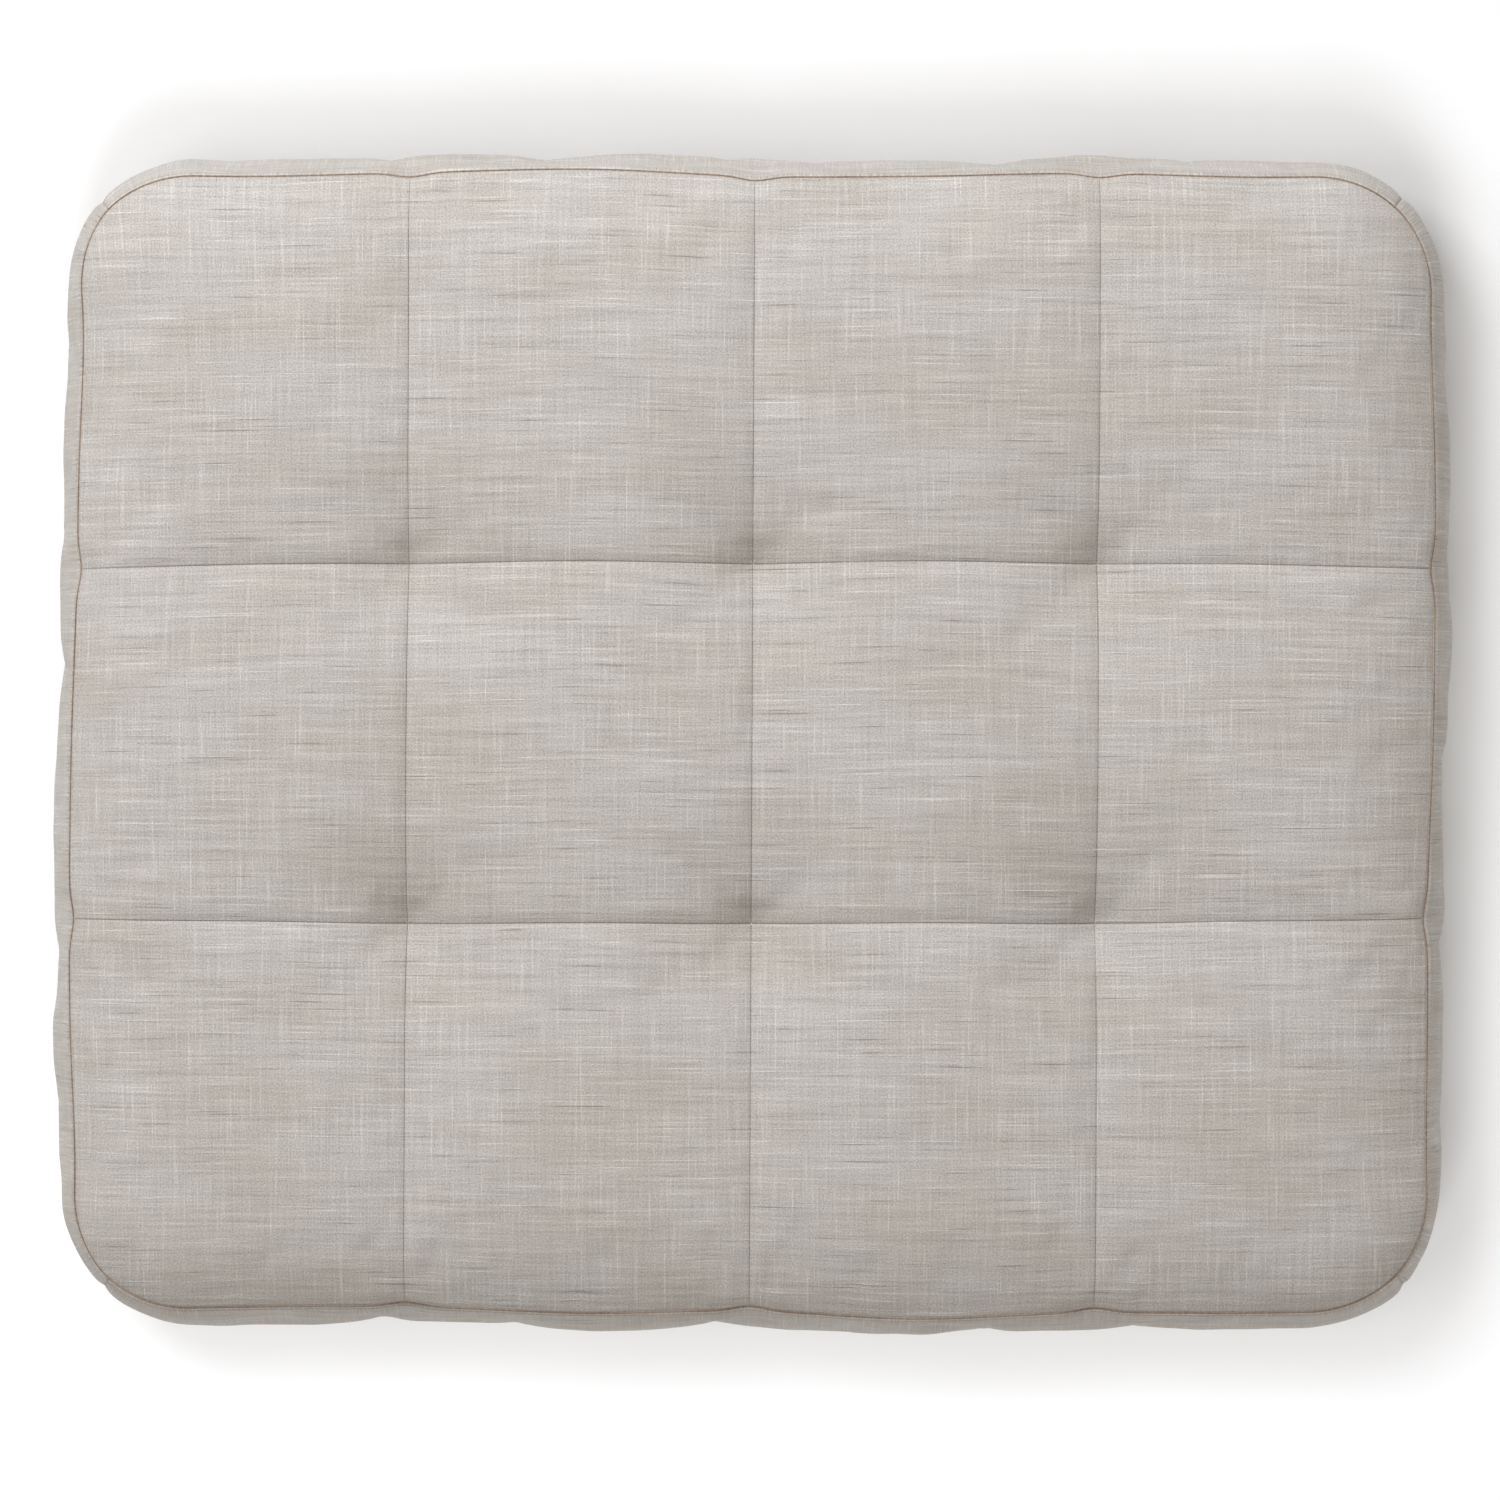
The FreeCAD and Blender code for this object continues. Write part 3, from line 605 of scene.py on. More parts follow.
edge_side = side_of(edge_a, edge_b)
BULGE = HALF_X - SEAM_X - 2.9  # room is left for the ripples and for the simulation's swelling
BULGE_CURVE = 2.5
NOTCH_FILL = 1.3  # the band's middle is pulled in less than its edges at the grid seams
RIDGE = 1.6  # the seam allowance stands out under the cloth beside each edge seam
RIDGE_WIDTH = 0.05  # as a share of half the band's height
HEM_LIFT = 0.3  # the band's lower edge is sewn on just above the underside
HEM_HEIGHT = 0.02  # as a share of the band's height
WAVE, CREASE, SEAM_WAVE = 0.7, 0.25, 1.4  # sizes of the ripples
CORNER_PINCH = 0.9  # how far the corner seams pull the band in
PINCH_WIDTH = 1.6
band_wave = ripples(5, 9, 60, 210)
band_crease = ripples(6, 14, 16, 60)
seam_wave = ripples(7, 8, 40, 160)


def corner_nearness(width):
    """1 at the four corner seams, falling to 0 along the edge."""
    near = np.zeros_like(edge_s)
    for i in range(4):
        change = np.nonzero((edge_side == i) & (np.roll(edge_side, -1) != i))[0][0]
        gap = np.abs(edge_s - edge_s[(change + 1) % len(edge_s)])
        gap = np.minimum(gap, LENGTH - gap)
        near = np.maximum(near, np.exp(-((gap / width) ** 2)))
    return near


def band_points(height, inset=0.0):
    """The band at a share of its height, 0 at the bottom seam and 1 at the top one."""
    middle = 2 * height - 1
    out = BULGE * (1 - np.abs(middle) ** BULGE_CURVE)
    ridge = RIDGE * np.exp(-(((1 - np.abs(middle)) / RIDGE_WIDTH) ** 2)) * (np.abs(middle) < 0.999)
    wave = (WAVE * band_wave(edge_s) + CREASE * band_crease(edge_s)) * (1 - middle**2)
    pinch = CORNER_PINCH * corner_nearness(PINCH_WIDTH) * (1 - middle**4)
    fill = NOTCH_FILL * edge_notch * (1 - middle**2)
    reach = out + ridge + wave + fill + band_puff(height) - pinch - inset
    z = SEAM_Z * height + SEAM_WAVE * seam_wave(edge_s) * np.clip(middle, 0, 1) * (1 - np.abs(middle))
    z = z + HEM_LIFT * np.clip(1 - height / HEM_HEIGHT, 0, 1)
    return np.stack([edge_x + edge_nx * reach, edge_y + edge_ny * reach, z], axis=-1)


SIM_CELLS = 26  # cells along each side of a panel
SIM_ROWS = 14  # cells up the band
PRESSURE = 4.0
SIM_FRAMES = 20
HELD_CORNER = 3.0  # the band is held about this near a corner seam
PUFF_LIMIT = 3.5  # how far a point of the cover may swell
puffs = {"top": None, "band": None}


def band_puff(height):
    """How far the simulated band swells at each edge point, for one share of its height or many."""
    if puffs["band"] is None:
        return 0.0
    rows = puffs["band"]
    place = np.clip(np.broadcast_to(height, edge_s.shape), 0, 1) * (len(rows) - 1)
    low = np.minimum(place.astype(int), len(rows) - 2)
    f = place - low
    at = np.arange(len(edge_s))
    before, after = np.maximum(low - 1, 0), np.minimum(low + 2, len(rows) - 1)
    a, b, c, d = rows[before, at], rows[low, at], rows[low + 1, at], rows[after, at]
    return b + 0.5 * f * (c - a + f * (2 * a - 5 * b + 4 * c - d + f * (3 * (b - c) + d - a)))


def catmull(values, place):
    """Smooth values along the first axis of an array, at fractional row numbers."""
    padded = np.concatenate([2 * values[:1] - values[1:2], values, 2 * values[-1:] - values[-2:-1]])
    low = np.minimum(place.astype(int), len(values) - 2)
    f = (place - low).reshape(-1, *[1] * (values.ndim - 1))
    a, b, c, d = (padded[low + k] for k in range(4))
    return b + 0.5 * f * (c - a + f * (2 * a - 5 * b + 4 * c - d + f * (3 * (b - c) + d - a)))


def top_puff(row, column, a, b):
    """How the simulated cloth of one panel moves, for its columns a and its rows b."""
    if puffs["top"] is None:
        return np.zeros((len(b), len(a), 3))
    rows, columns = (row - 1) * SIM_CELLS, (column - 1) * SIM_CELLS
    panel = puffs["top"][rows : rows + SIM_CELLS + 1, columns : columns + SIM_CELLS + 1]
    ta = (a - COLUMN_LINES[column - 1]) / (COLUMN_LINES[column] - COLUMN_LINES[column - 1])
    tb = (b - ROW_LINES[row - 1]) / (ROW_LINES[row] - ROW_LINES[row - 1])
    panel = catmull(panel, np.clip(tb, 0, 1) * SIM_CELLS)
    return catmull(panel.swapaxes(0, 1), np.clip(ta, 0, 1) * SIM_CELLS).swapaxes(0, 1)


def soft_limit(move, limit):
    size = np.linalg.norm(move, axis=-1, keepdims=True)
    return move * limit * np.tanh(size / limit) / np.maximum(size, 1e-9)


def inflate():
    """Blows the cover up between its seams, which are held, and keeps how far each point moved."""
    t = np.linspace(0, 1, SIM_CELLS + 1)[:-1]
    a = np.concatenate([low + (high - low) * t for low, high in zip(COLUMN_LINES, COLUMN_LINES[1:])])
    b = np.concatenate([low + (high - low) * t for low, high in zip(ROW_LINES, ROW_LINES[1:])])
    a, b = np.append(a, COLUMN_LINES[-1]), np.append(b, ROW_LINES[-1])
    b_grid, a_grid = np.meshgrid(b, a, indexing="ij")
    x, y, _, _ = plan(a_grid, b_grid)
    top = np.stack([x, y, top_z(a_grid, b_grid)], axis=-1)
    band = np.stack([band_points(h)[::2] for h in np.linspace(0, 1, SIM_ROWS + 1)])
    rows, columns = top.shape[:2]
    levels, around = band.shape[:2]
    points = np.concatenate([top.reshape(-1, 3), band.reshape(-1, 3)])
    faces = sheet_faces(rows, columns) + sheet_faces(levels, around, rows * columns, closed=True)
    cloth = make_mesh("sim_cover", points, faces)

    held_top = np.zeros((rows, columns), bool)
    held_top[::SIM_CELLS, :] = True
    held_top[:, ::SIM_CELLS] = True
    held_band = np.zeros((levels, around), bool)
    held_band[[0, -1], :] = True
    held_band[:, corner_nearness(HELD_CORNER)[::2] > 0.5] = True
    held = np.nonzero(np.concatenate([held_top.ravel(), held_band.ravel()]))[0]
    seams = cloth.vertex_groups.new(name="seams")
    seams.add(held.tolist(), 1.0, "REPLACE")

    cloth_physics = cloth.modifiers.new("cloth", "CLOTH")
    settings = cloth_physics.settings
    settings.quality = 6
    settings.mass = 0.25
    settings.tension_stiffness = settings.compression_stiffness = 25
    settings.shear_stiffness = 8
    settings.bending_stiffness = 2.0
    settings.shrink_min = -0.004
    settings.use_pressure = True
    settings.uniform_pressure_force = PRESSURE
    settings.vertex_group_mass = "seams"
    settings.effector_weights.gravity = 0.0
    cloth_physics.point_cache.frame_start = 1
    cloth_physics.point_cache.frame_end = SIM_FRAMES
    for step in range(1, SIM_FRAMES + 1):
        bpy.context.scene.frame_set(step)
    done = cloth.evaluated_get(bpy.context.evaluated_depsgraph_get())
    moved = np.empty(len(points) * 3, np.float32)
    done.data.vertices.foreach_get("co", moved)
    move = soft_limit(moved.reshape(-1, 3) / MM - points, PUFF_LIMIT)
    bpy.data.objects.remove(cloth)
    bpy.context.scene.frame_set(1)
    top_move = move[: rows * columns].reshape(rows, columns, 3)
    top_move[..., 2] = np.maximum(top_move[..., 2], -0.3)
    band_move = move[rows * columns :].reshape(levels, around, 3)
    outward = band_move[..., 0] * edge_nx[::2] + band_move[..., 1] * edge_ny[::2]
    between = (outward + np.roll(outward, -1, axis=1)) / 2
    puffs["band"] = np.stack([outward, between], axis=-1).reshape(levels, -1)
    puffs["top"] = top_move


inflate()

# ---------------- the top

PANEL_STEPS = 84
SEAM_GAP = 0.04
RIM_TURN = 0.5  # how far the cut edge turns down into an edge seam
ROW_TURN = 0.36  # and into a row seam
COLUMN_TURN = 0.12  # and into a column seam, which is pressed flatter
TUFT_SHADE_SPREAD = 17.0  # painted shade: the cloth is painted browner this near a tuft, for the shade in the tuft's dip
TUFT_SHADE_ELSEWHERE = 0.3  # share of that painted shade outside the panel behind the tuft on its left, the panel that faces away from the light
TUFT_SHADE_EDGE = 1.5  # how softly that share changes


# painted shade: a brown tint round each tuft, strongest on the back-left side that faces away from the
# light
def painted_tuft_shade_share(a, b):
    """How much browner the cloth is painted at each point, as painted shade round the tufts."""
    total = np.zeros_like(a)
    for x, y in TUFTS:
        left, back = 1 / (1 + np.exp((a - x) / TUFT_SHADE_EDGE)), 1 / (1 + np.exp((y - b) / TUFT_SHADE_EDGE))
        share = TUFT_SHADE_ELSEWHERE + (1 - TUFT_SHADE_ELSEWHERE) * left * back
        total += share * np.exp(-np.hypot(a - x, b - y) / TUFT_SHADE_SPREAD)
    return total


def top_piece(row, column):
    a_low, a_high = COLUMN_LINES[column - 1], COLUMN_LINES[column]
    b_low, b_high = ROW_LINES[row - 1], ROW_LINES[row]
    a = spread(a_low + SEAM_GAP, a_high - SEAM_GAP, PANEL_STEPS)
    b = spread(b_low + SEAM_GAP, b_high - SEAM_GAP, PANEL_STEPS)
    b_grid, a_grid = np.meshgrid(b, a, indexing="ij")
    x, y, _, _ = plan(a_grid, b_grid)
    z = top_z(a_grid, b_grid) - groove(a_grid, b_grid)
    rim = np.zeros_like(z)
    rim[:, 0] = RIM_TURN if column == 1 else COLUMN_TURN
    rim[:, -1] = RIM_TURN if column == 4 else COLUMN_TURN
    rim[0, :] = RIM_TURN if row == 1 else ROW_TURN
    rim[-1, :] = RIM_TURN if row == 3 else ROW_TURN
    outer = np.stack([x, y, z - rim], axis=-1) + top_puff(row, column, a, b)
    inner = outer - np.array([0, 0, COVER])
    cloth_x, cloth_y, _, _ = round_corners(a_grid, b_grid)
    uv = np.stack([cloth_x, cloth_y], axis=-1)
    # each panel gets its painted shade round the tufts here
    piece = shell(f"top_r{row}c{column}", outer, inner, uv, painted_tuft_shade_share(a_grid, b_grid))
    own(piece, [f"top_piece_r{row}c{column}"], "top_linen")


for row in (1, 2, 3):
    for column in (1, 2, 3, 4):
        top_piece(row, column)


# ---------------- the side band

BAND_ROWS = 44
CLOTH_RISE = 1.25  # the cloth's length for each millimetre of the band's height


def members(side):
    """The edge points of one side, in order, up to the next side's first one."""
    member = np.nonzero(edge_side == side)[0]
    if side == 0:
        member = np.concatenate([member[member > len(edge_s) / 2], member[member < len(edge_s) / 2]])
    return np.append(member, (member[-1] + 1) % len(edge_s))


def band_piece(name, node, side, outer, inner, up):
    """One strip of the band from its grids, with the cloth's map from the way along and up."""
    member = members(side)
    along = np.unwrap(edge_s[member] / LENGTH * math.tau) / math.tau * LENGTH
    u, v = np.broadcast_arrays(along, up[:, member] if up.shape[1] > 1 else up)
    if side in (0, 2):
        u, v = v, u
    uv = np.stack([u + 300 * side, v + 170 * side], axis=-1)
    piece = shell(name, outer[:, member], inner[:, member], uv)
    own(piece, [node], "side_linen")


def whole_strip(name, node, side):
    heights = spread(0.0, 1.0, BAND_ROWS, 0.7)
    outer = np.stack([band_points(h) for h in heights])
    inner = np.stack([band_points(h, COVER) for h in heights])
    band_piece(name, node, side, outer, inner, heights[:, None] * SEAM_Z * CLOTH_RISE)


ZIP_GAP = 10.4  # the window's height
CLOSED_GAP = 0.12  # between the two halves beyond the window
WINDOW_REACH = middle_of("zip_stop_closed", 0) + 1.5  # half the window's length
WINDOW_END = 2.5  # the window closes over this length
TAPE_FACE = edge_of("zip_tape_upper", 1)
FOLD = 1.1  # radius of the folded edges beside the zip
HEM_ROWS = 7
HEM_DEPTH = 2.0  # how far the edges turn in beyond the window
HEM_CLEAR = 0.1  # between a turned edge and the tape


def zip_strip(name, node, up_sign, rows):
    """Half of the back strip: its zip edge is folded in to the tapes, and meets the other half
    beyond the window's ends."""
    closing = np.clip((np.abs(edge_x) - WINDOW_REACH) / WINDOW_END, 0, 1)
    closing = closing * closing * (3 - 2 * closing)
    zip_edge = ZIP_Z + up_sign * (CLOSED_GAP + (ZIP_GAP - CLOSED_GAP) * (1 - closing)) / 2
    seam_edge = SEAM_Z if up_sign > 0 else 0.0
    t = spread(0.0, 1.0, rows, 0.7)[:, None]
    z = seam_edge + (zip_edge - seam_edge) * t
    z_inside = seam_edge + (zip_edge + up_sign * COVER - seam_edge) * t
    outer = np.stack([band_points(row / SEAM_Z) for row in z])
    inner = np.stack([band_points(row / SEAM_Z, COVER) for row in z_inside])
    reach_in = np.clip(1 - np.abs(z - zip_edge) / FOLD, 0, 1)
    fold = FOLD * (1 - np.sqrt(1 - reach_in**2))
    normal = np.stack([edge_nx, edge_ny, np.zeros_like(edge_nx)], axis=-1)
    outer = outer - fold[..., None] * normal
    to_tape = outer[-1, :, 1] - TAPE_FACE - HEM_CLEAR
    depth = np.where(closing < 1, to_tape * (1 - closing), 0) + HEM_DEPTH * closing
    turned = np.linspace(0, 1, HEM_ROWS + 1)[1:, None] * depth
    hem_outer = outer[-1][None] - turned[..., None] * normal[None]
    hem_inner = hem_outer + np.array([0, 0, up_sign * COVER])
    outer, inner = np.concatenate([outer, hem_outer]), np.concatenate([inner, hem_inner])
    up = np.concatenate([z, zip_edge - up_sign * turned])
    if up_sign > 0:
        outer, inner, up = outer[::-1], inner[::-1], up[::-1]
    band_piece(name, node, 1, outer, inner, up * CLOTH_RISE)


whole_strip("side_right", "side_strip_right", 0)
whole_strip("side_left", "side_strip_left", 2)
whole_strip("side_front", "side_strip_front", 3)
zip_strip("side_back_lower", "side_strip_back_lower", -1, 22)
zip_strip("side_back_upper", "side_strip_back_upper", 1, 28)

# ---------------- the underside

BOTTOM_STEPS = (150, 128)
HOLLOW_RADIUS = 34.0  # the hollow round each button
HOLLOW_SLOPE = 20.0
HOLLOW_DEPTH = 8.0


def hollow_z(x, y):
    """Height of the underside's outer face above the floor."""
    z = np.zeros_like(x)
    for cx, cy in TUFTS:
        t = np.clip((HOLLOW_RADIUS - np.hypot(x - cx, y - cy)) / HOLLOW_SLOPE, 0, 1)
        z = z + HOLLOW_DEPTH * t * t * (3 - 2 * t)
    return z


def underside():
    a = spread(-SEAM_X + SEAM_GAP, SEAM_X - SEAM_GAP, BOTTOM_STEPS[0], 0.5)
    b = spread(-SEAM_Y + SEAM_GAP, SEAM_Y - SEAM_GAP, BOTTOM_STEPS[1], 0.5)
    b_grid, a_grid = np.meshgrid(b, a, indexing="ij")
    x, y, _, _ = plan(a_grid, b_grid)
    outer = np.stack([x, y, hollow_z(x, y)], axis=-1)
    inner = outer + np.array([0, 0, COVER])
    uv = np.stack([a_grid + 700, b_grid + 300], axis=-1)
    bottom = shell("bottom", outer[:, ::-1], inner[:, ::-1], uv[:, ::-1])
    own(bottom, ["bottom_panel"], "bottom_linen")


underside()

# ---------------- threads

EDGE_THREAD = 0.38  # radius
EDGE_OUT = 0.3  # the edge threads lie this far outside the seam
GRID_THREAD = 0.3  # radius
COLUMN_DEPTH = 0.75  # how far the grid's threads lie below the cover's face
ROW_DEPTH = 0.55


def tube(name, points, radius, closed, sides=8, twist=None):
    """A thread along points in millimetres, round, or of two plies with this length of twist."""
    points = np.asarray(points, float)
    if closed:
        ahead = np.roll(points, -1, axis=0) - np.roll(points, 1, axis=0)
    else:
        ahead = np.gradient(points, axis=0)
    ahead /= np.linalg.norm(ahead, axis=1)[:, None]
    side = np.cross(ahead, [0, 1.0, 0] if twist else [0, 0, 1.0])
    side /= np.linalg.norm(side, axis=1)[:, None]
    up = np.cross(side, ahead)
    turns = np.arange(sides) * math.tau / sides
    radius = np.broadcast_to(radius, len(points))[:, None, None]
    ring = np.cos(turns)[None, :, None] * side[:, None] + np.sin(turns)[None, :, None] * up[:, None]
    if twist:
        phase = lengths(points)[:, None] * math.tau / twist
        ring = ring * (0.88 + 0.12 * np.cos(2 * (turns[None] - phase)))[..., None]
    rings = points[:, None] + radius * ring
    count = len(points)
    faces = sheet_faces(count, sides, closed=True)
    if closed:
        last = (count - 1) * sides
        faces += [(last + j, last + (j + 1) % sides, (j + 1) % sides, j) for j in range(sides)]
    else:
        faces.append(tuple(range(sides))[::-1])
        faces.append(tuple((count - 1) * sides + j for j in range(sides)))
    return make_mesh(name, rings.reshape(-1, 3), [f[::-1] for f in faces])


def stitched(length, radius, stitch=3.2):
    """A radius that thins where each stitch goes down."""
    return radius * (0.62 + 0.38 * np.abs(np.sin(math.pi * length / stitch)) ** 0.5)


def lengths(points):
    return np.concatenate([[0], np.cumsum(np.linalg.norm(np.diff(points, axis=0), axis=1))])


seam_a, seam_b = perimeter(0.8)
seam_x, seam_y, seam_nx, seam_ny = plan(seam_a, seam_b)
for name, node, height, slot_name in (
    ("seam_top", "top_seam_thread", SEAM_Z - 0.1, "brown_thread"),
    ("seam_bottom", "bottom_seam_thread", 0.5, "seam_thread"),
):
    out_x, out_y = seam_x + EDGE_OUT * seam_nx, seam_y + EDGE_OUT * seam_ny
    line = np.stack([out_x, out_y, np.full_like(seam_x, height)], axis=-1)
    thread = tube(name, line, stitched(lengths(line), EDGE_THREAD), closed=True)
    own(thread, [node], slot_name)


def grid_line(a, b, depth):
    x, y, _, _ = plan(a, b)
    z = top_z(a, b) - groove(a, b) - depth
    return np.stack([x, y, z], axis=-1)


for number, seam in enumerate(COLUMN_SEAMS, 1):
    b = np.linspace(-SEAM_Y + 0.5, SEAM_Y - 0.5, 600)
    line = grid_line(np.full_like(b, seam), b, COLUMN_DEPTH)
    thread = tube(f"seam_column_{number}", line, stitched(lengths(line), GRID_THREAD), closed=False)
    own(thread, [f"column_seam_thread_{number}"], "seam_thread")
for number, seam in enumerate(ROW_SEAMS, 1):
    for part, (low, high) in enumerate(zip(COLUMN_LINES, COLUMN_LINES[1:]), 1):
        a = np.linspace(low + 0.6, high - 0.6, 190)
        line = grid_line(a, np.full_like(a, seam), ROW_DEPTH)
        thread = tube(f"seam_row_{number}_{part}", line, stitched(lengths(line), GRID_THREAD), closed=False)
        own(thread, [f"row_seam_threads_{number}"], "seam_thread")

# ---------------- the filling

FILL_GAP = 0.6  # between one layer and the next
FIBRE_INSET = 22.0  # from the edge seam to the flat layers
TOP_FIBRE = 8.0
BOTTOM_FIBRE = 6.0
ZIP_REACH = 225.0  # half the length that the fibre leaves free for the zip
ZIP_DEPTH = 9.0
ZIP_RECESS = 16.0  # half the height of that recess
RECESS_END = 1.5  # how softly it ends


def fill_grid(columns=130, rows=110):
    """The flat layers' grid in plan, and the heights of their upper and lower faces."""
    a = np.linspace(FIBRE_INSET - SEAM_X, SEAM_X - FIBRE_INSET, columns)
    b = np.linspace(FIBRE_INSET - SEAM_Y, SEAM_Y - FIBRE_INSET, rows)
    b, a = np.meshgrid(b, a, indexing="ij")
    x, y, _, _ = plan(a * SEAM_X / (SEAM_X - FIBRE_INSET), b * SEAM_Y / (SEAM_Y - FIBRE_INSET))
    x, y = x * (1 - FIBRE_INSET / SEAM_X), y * (1 - FIBRE_INSET / SEAM_Y)
    over = flat_place(x, y)
    top = top_z(*over) - groove(*over) - COVER - FILL_GAP - RIM_TURN
    return x, y, top, hollow_z(x, y) + COVER + FILL_GAP


def filling(name, node, slot_name, low, high):
    x, y = fill_x, fill_y
    upper, lower = np.stack([x, y, high], axis=-1), np.stack([x, y, low], axis=-1)
    piece = shell(name, upper, lower, np.stack([x, y], axis=-1))
    own(piece, [node], slot_name)


fill_x, fill_y, fill_top, fill_bottom = fill_grid()
filling("fill_top", "fibre_top", "fibre", fill_top - TOP_FIBRE, fill_top)
filling("fill_bottom", "fibre_bottom", "fibre", fill_bottom, fill_bottom + BOTTOM_FIBRE)
foam_low, foam_high = fill_bottom + BOTTOM_FIBRE + FILL_GAP, fill_top - TOP_FIBRE - FILL_GAP
filling("foam", "foam_core", "foam", foam_low, foam_high)


def side_fibre():
    """A closed ring of fibre between the foam and the band."""
    heights = np.linspace(0.05, 0.9, 30)
    outer, inner = [], []
    for h in heights:
        near_zip = np.exp(-(((h * SEAM_Z - ZIP_Z) / ZIP_RECESS) ** 6)) * (edge_side == 1)
        near_zip = near_zip / (1 + np.exp((np.abs(edge_x) - ZIP_REACH - 4) / RECESS_END))
        outer.append(band_points(h, COVER + FILL_GAP + ZIP_DEPTH * near_zip))
        inner.append(band_points(h, FIBRE_INSET - 3.0 + BULGE * (1 - abs(2 * h - 1) ** BULGE_CURVE)))
    loop = np.concatenate([np.stack(outer), np.stack(inner)[::-1]])
    loop = np.concatenate([loop, loop[:1]])
    rows, columns = loop.shape[:2]
    points = loop[:-1].reshape(-1, 3)
    faces = []
    for i in range(rows - 1):
        below = (i + 1) % (rows - 1)
        for j in range(columns):
            k = (j + 1) % columns
            faces.append((i * columns + j, i * columns + k, below * columns + k, below * columns + j))
    piece = make_mesh("fill_side", points, faces)
    own(piece, ["fibre_side"], "fibre")


side_fibre()

# ---------------- buttons under the ties


def button(number, x, y):
    """A covered button face down, its cloth drawn into small pleats at the rim."""
    radius, thickness, sides, rings = 11.0, 3.4, 72, 14
    phase = random.Random(number).uniform(0, math.tau)
    outer, uv = [], []
    for i in range(rings + 1):
        t = i / rings
        for j in range(sides):
            turn = j / sides * math.tau
            pleat = 1 + 0.012 * math.sin(turn * 17 + phase) * max(0.0, (t - 0.55) / 0.45)
            across = radius * math.sin(t * math.pi / 2) * pleat if t > 0 else 0.35
            drop = thickness * (math.cos(t * math.pi / 2) ** 0.8)
            drop *= 1 - 0.32 * math.exp(-((across / 2.4) ** 2))
            outer.append((across * math.cos(turn), across * math.sin(turn), -drop))
            uv.append((across * math.cos(turn) + 40 * number, across * math.sin(turn)))
    points = [(x + px, y + py, BUTTON_Z + pz) for px, py, pz in outer]
    faces = sheet_faces(rings + 1, sides, closed=True)
    faces.append(tuple(range(sides))[::-1])
    faces.append(tuple(rings * sides + j for j in range(sides)))
    piece = make_mesh(f"button_{number}", points, faces, uv)
    own(piece, [f"tuft_button_{number}"], "button_linen")


BUTTON_Z = edge_of("tuft_button_1", 2) - 0.1
for number, (x, y) in enumerate(TUFTS, 1):
    button(number, x, y)

# ---------------- the ties

TWINE = 0.8
TWIST = 4.6  # length of one turn of the twine
TIE_CLEAR = 0.25  # the twine's top lies RIM_TURN and this much below the cover's face


def tie(number, x, y):
    """Waxed twine looped over the crossing of the seams and under the button, and drawn tight."""
    low, high = (np.array(corner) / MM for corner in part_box(f"tuft_tie_{number}"))
    half = (high[0] - low[0]) / 2 - TWINE
    at = np.array([x]), np.array([y])
    top = float((top_z(*at) - groove(*at))[0]) - RIM_TURN - TIE_CLEAR - TWINE
    bottom = low[2] + TWINE
    turn = np.linspace(0, math.pi, 13)
    legs = np.linspace(0, 1, 90)[1:-1]
    over = np.stack([half * np.cos(turn), top - half + half * np.sin(turn)], axis=-1)
    under = np.stack([-half * np.cos(turn), bottom + half - half * np.sin(turn)], axis=-1)
    left = np.stack([np.full_like(legs, -half), over[-1, 1] + (under[0, 1] - over[-1, 1]) * legs], axis=-1)
    right = np.stack([np.full_like(legs, half), under[-1, 1] + (over[0, 1] - under[-1, 1]) * legs], axis=-1)
    path = np.concatenate([over, left, under, right])
    middle_x, middle_y, _, _ = plan(*at)
    middle_x, middle_y = float(middle_x[0]), float(middle_y[0])
    share = np.clip((path[:, 1] - bottom) / (top - bottom), 0, 1)
    points = np.stack(
        [x + (middle_x - x) * share + path[:, 0], y + (middle_y - y) * share, path[:, 1]], axis=-1
    )
    piece = tube(f"tie_{number}", points, TWINE, closed=True, sides=12, twist=TWIST)
    own(piece, [f"tuft_tie_{number}"], "twine")


for number, (x, y) in enumerate(TUFTS, 1):
    tie(number, x, y)

# ---------------- the zip's coils

COIL_PITCH = 1.36
COIL_WIRE = 0.38
COIL_REACH = 0.25  # how far the turns stand past the coil's core, towards the other tape


def coil(name, node, lean):
    """A nylon monofilament wound along one tape, its turns a little flattened and leaning."""
    low, high = (Vector(corner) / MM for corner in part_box(node))
    if lean > 0:
        low.z -= COIL_REACH
    else:
        high.z += COIL_REACH
    turns = (high.x - low.x - 2 * COIL_WIRE) / COIL_PITCH
    angle = np.linspace(0, math.tau * turns, int(turns * 14))
    half_y, half_z = (high.y - low.y) / 2 - COIL_WIRE, (high.z - low.z) / 2 - COIL_WIRE
    across, up = np.cos(angle), np.sin(angle)
    flat = 0.72
    across, up = np.sign(across) * np.abs(across) ** flat, np.sign(up) * np.abs(up) ** flat
    x = low.x + COIL_WIRE + COIL_PITCH * angle / math.tau
    x = np.clip(x + lean * 0.3 * up, low.x + COIL_WIRE, high.x - COIL_WIRE)
    y, z = (low.y + high.y) / 2 + half_y * across, (low.z + high.z) / 2 + half_z * up
    piece = tube(name, np.stack([x, y, z], axis=-1), COIL_WIRE, closed=False, sides=6)
    own(piece, [node], "zip_coil")


coil("coil_upper", "zip_coil_upper", 1)
coil("coil_lower", "zip_coil_lower", -1)

# ---------------- CAD pieces that stay

SLOT_OF = {part["node"]: part["material_slot"] for part in frame["record"]["subparts"]}
for node, obj in frame["nodes"].items():
    if not obj.hide_render:
        paint(obj, SLOT_OF[node])

# ---------------- floor, light and camera


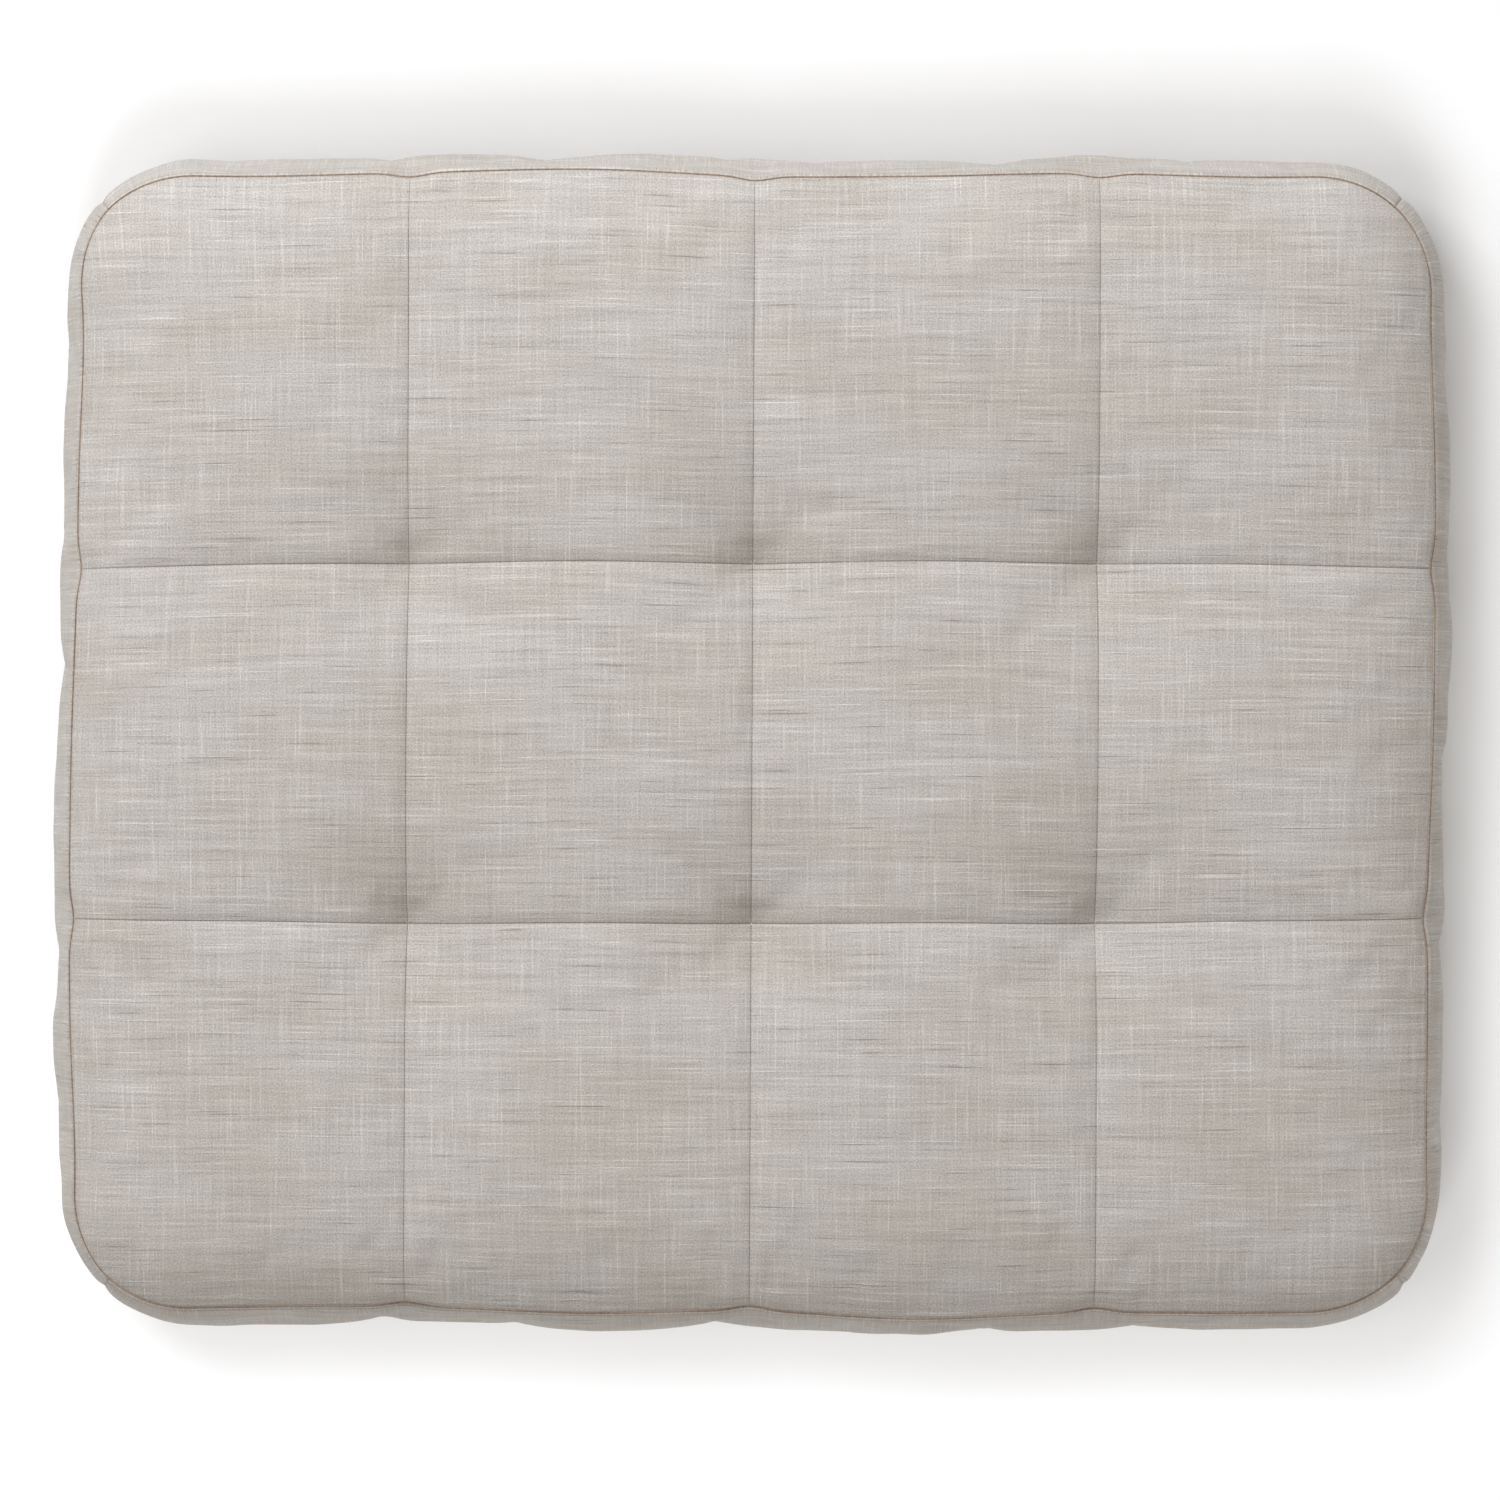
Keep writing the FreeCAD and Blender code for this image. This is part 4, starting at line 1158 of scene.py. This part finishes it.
def floor():
    size, z = 4.0, -0.0005
    mesh = bpy.data.meshes.new("floor")
    corners = [(-size, -size, z), (size, -size, z), (size, size, z), (-size, size, z)]
    mesh.from_pydata(corners, [], [(0, 1, 2, 3)])
    obj = bpy.data.objects.new("floor", mesh)
    bpy.context.scene.collection.objects.link(obj)
    n = Nodes("floor")
    n.surface.inputs["Base Color"].default_value = (0.86, 0.86, 0.86, 1)
    n.surface.inputs["Roughness"].default_value = 1.0
    n.surface.inputs["Specular IOR Level"].default_value = 0.0
    mesh.materials.append(n.material)
    obj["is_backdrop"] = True
    return obj


def area_light(name, place, target, size, power, tint=(1, 1, 1)):
    data = bpy.data.lights.new(name, "AREA")
    data.energy = power
    data.size = size
    data.color = tint
    obj = bpy.data.objects.new(name, data)
    bpy.context.scene.collection.objects.link(obj)
    obj.location = place
    obj.rotation_euler = (Vector(target) - Vector(place)).to_track_quat("-Z", "Y").to_euler()
    return obj


def light_only(light, lit):
    """A light that reaches only some objects."""
    group = bpy.data.collections.new(f"lit_by_{light.name}")
    for obj in lit:
        group.objects.link(obj)
    light.light_linking.receiver_collection = group


stage_floor = floor()
world = bpy.data.worlds.new("studio")
bpy.context.scene.world = world
world.use_nodes = True
world.node_tree.nodes["Background"].inputs["Color"].default_value = (1.0, 0.965, 0.93, 1)
world.node_tree.nodes["Background"].inputs["Strength"].default_value = 0.48
key = area_light("key", (-0.62, 1.22, 1.82), (0, 0, 0.05), 0.56, 36, (0.97, 1.0, 1.05))
light_only(key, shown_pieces())
for name, place, power in (
    ("floor_front", (-0.15, -1.25, 2.3), 26),
    ("floor_left", (-0.95, -0.3, 2.3), 11),
    ("floor_back", (-0.82, 0.84, 2.3), 26),
):
    light_only(area_light(name, place, (0, 0, 0), 0.9, power, (1.0, 1.015, 1.04)), [stage_floor])

camera_data = bpy.data.cameras.new("camera")
camera_data.lens = 150
camera = bpy.data.objects.new("camera", camera_data)
bpy.context.scene.collection.objects.link(camera)
VIEW_WIDTH = 0.6465
WIDEST_HEIGHT = 0.038
distance = VIEW_WIDTH * camera_data.lens / camera_data.sensor_width
camera.location = (-0.0009, -0.0026, WIDEST_HEIGHT + distance)
camera.rotation_euler = (0, 0, 0)
bpy.context.scene.camera = camera
bpy.context.scene.view_settings.view_transform = "Standard"
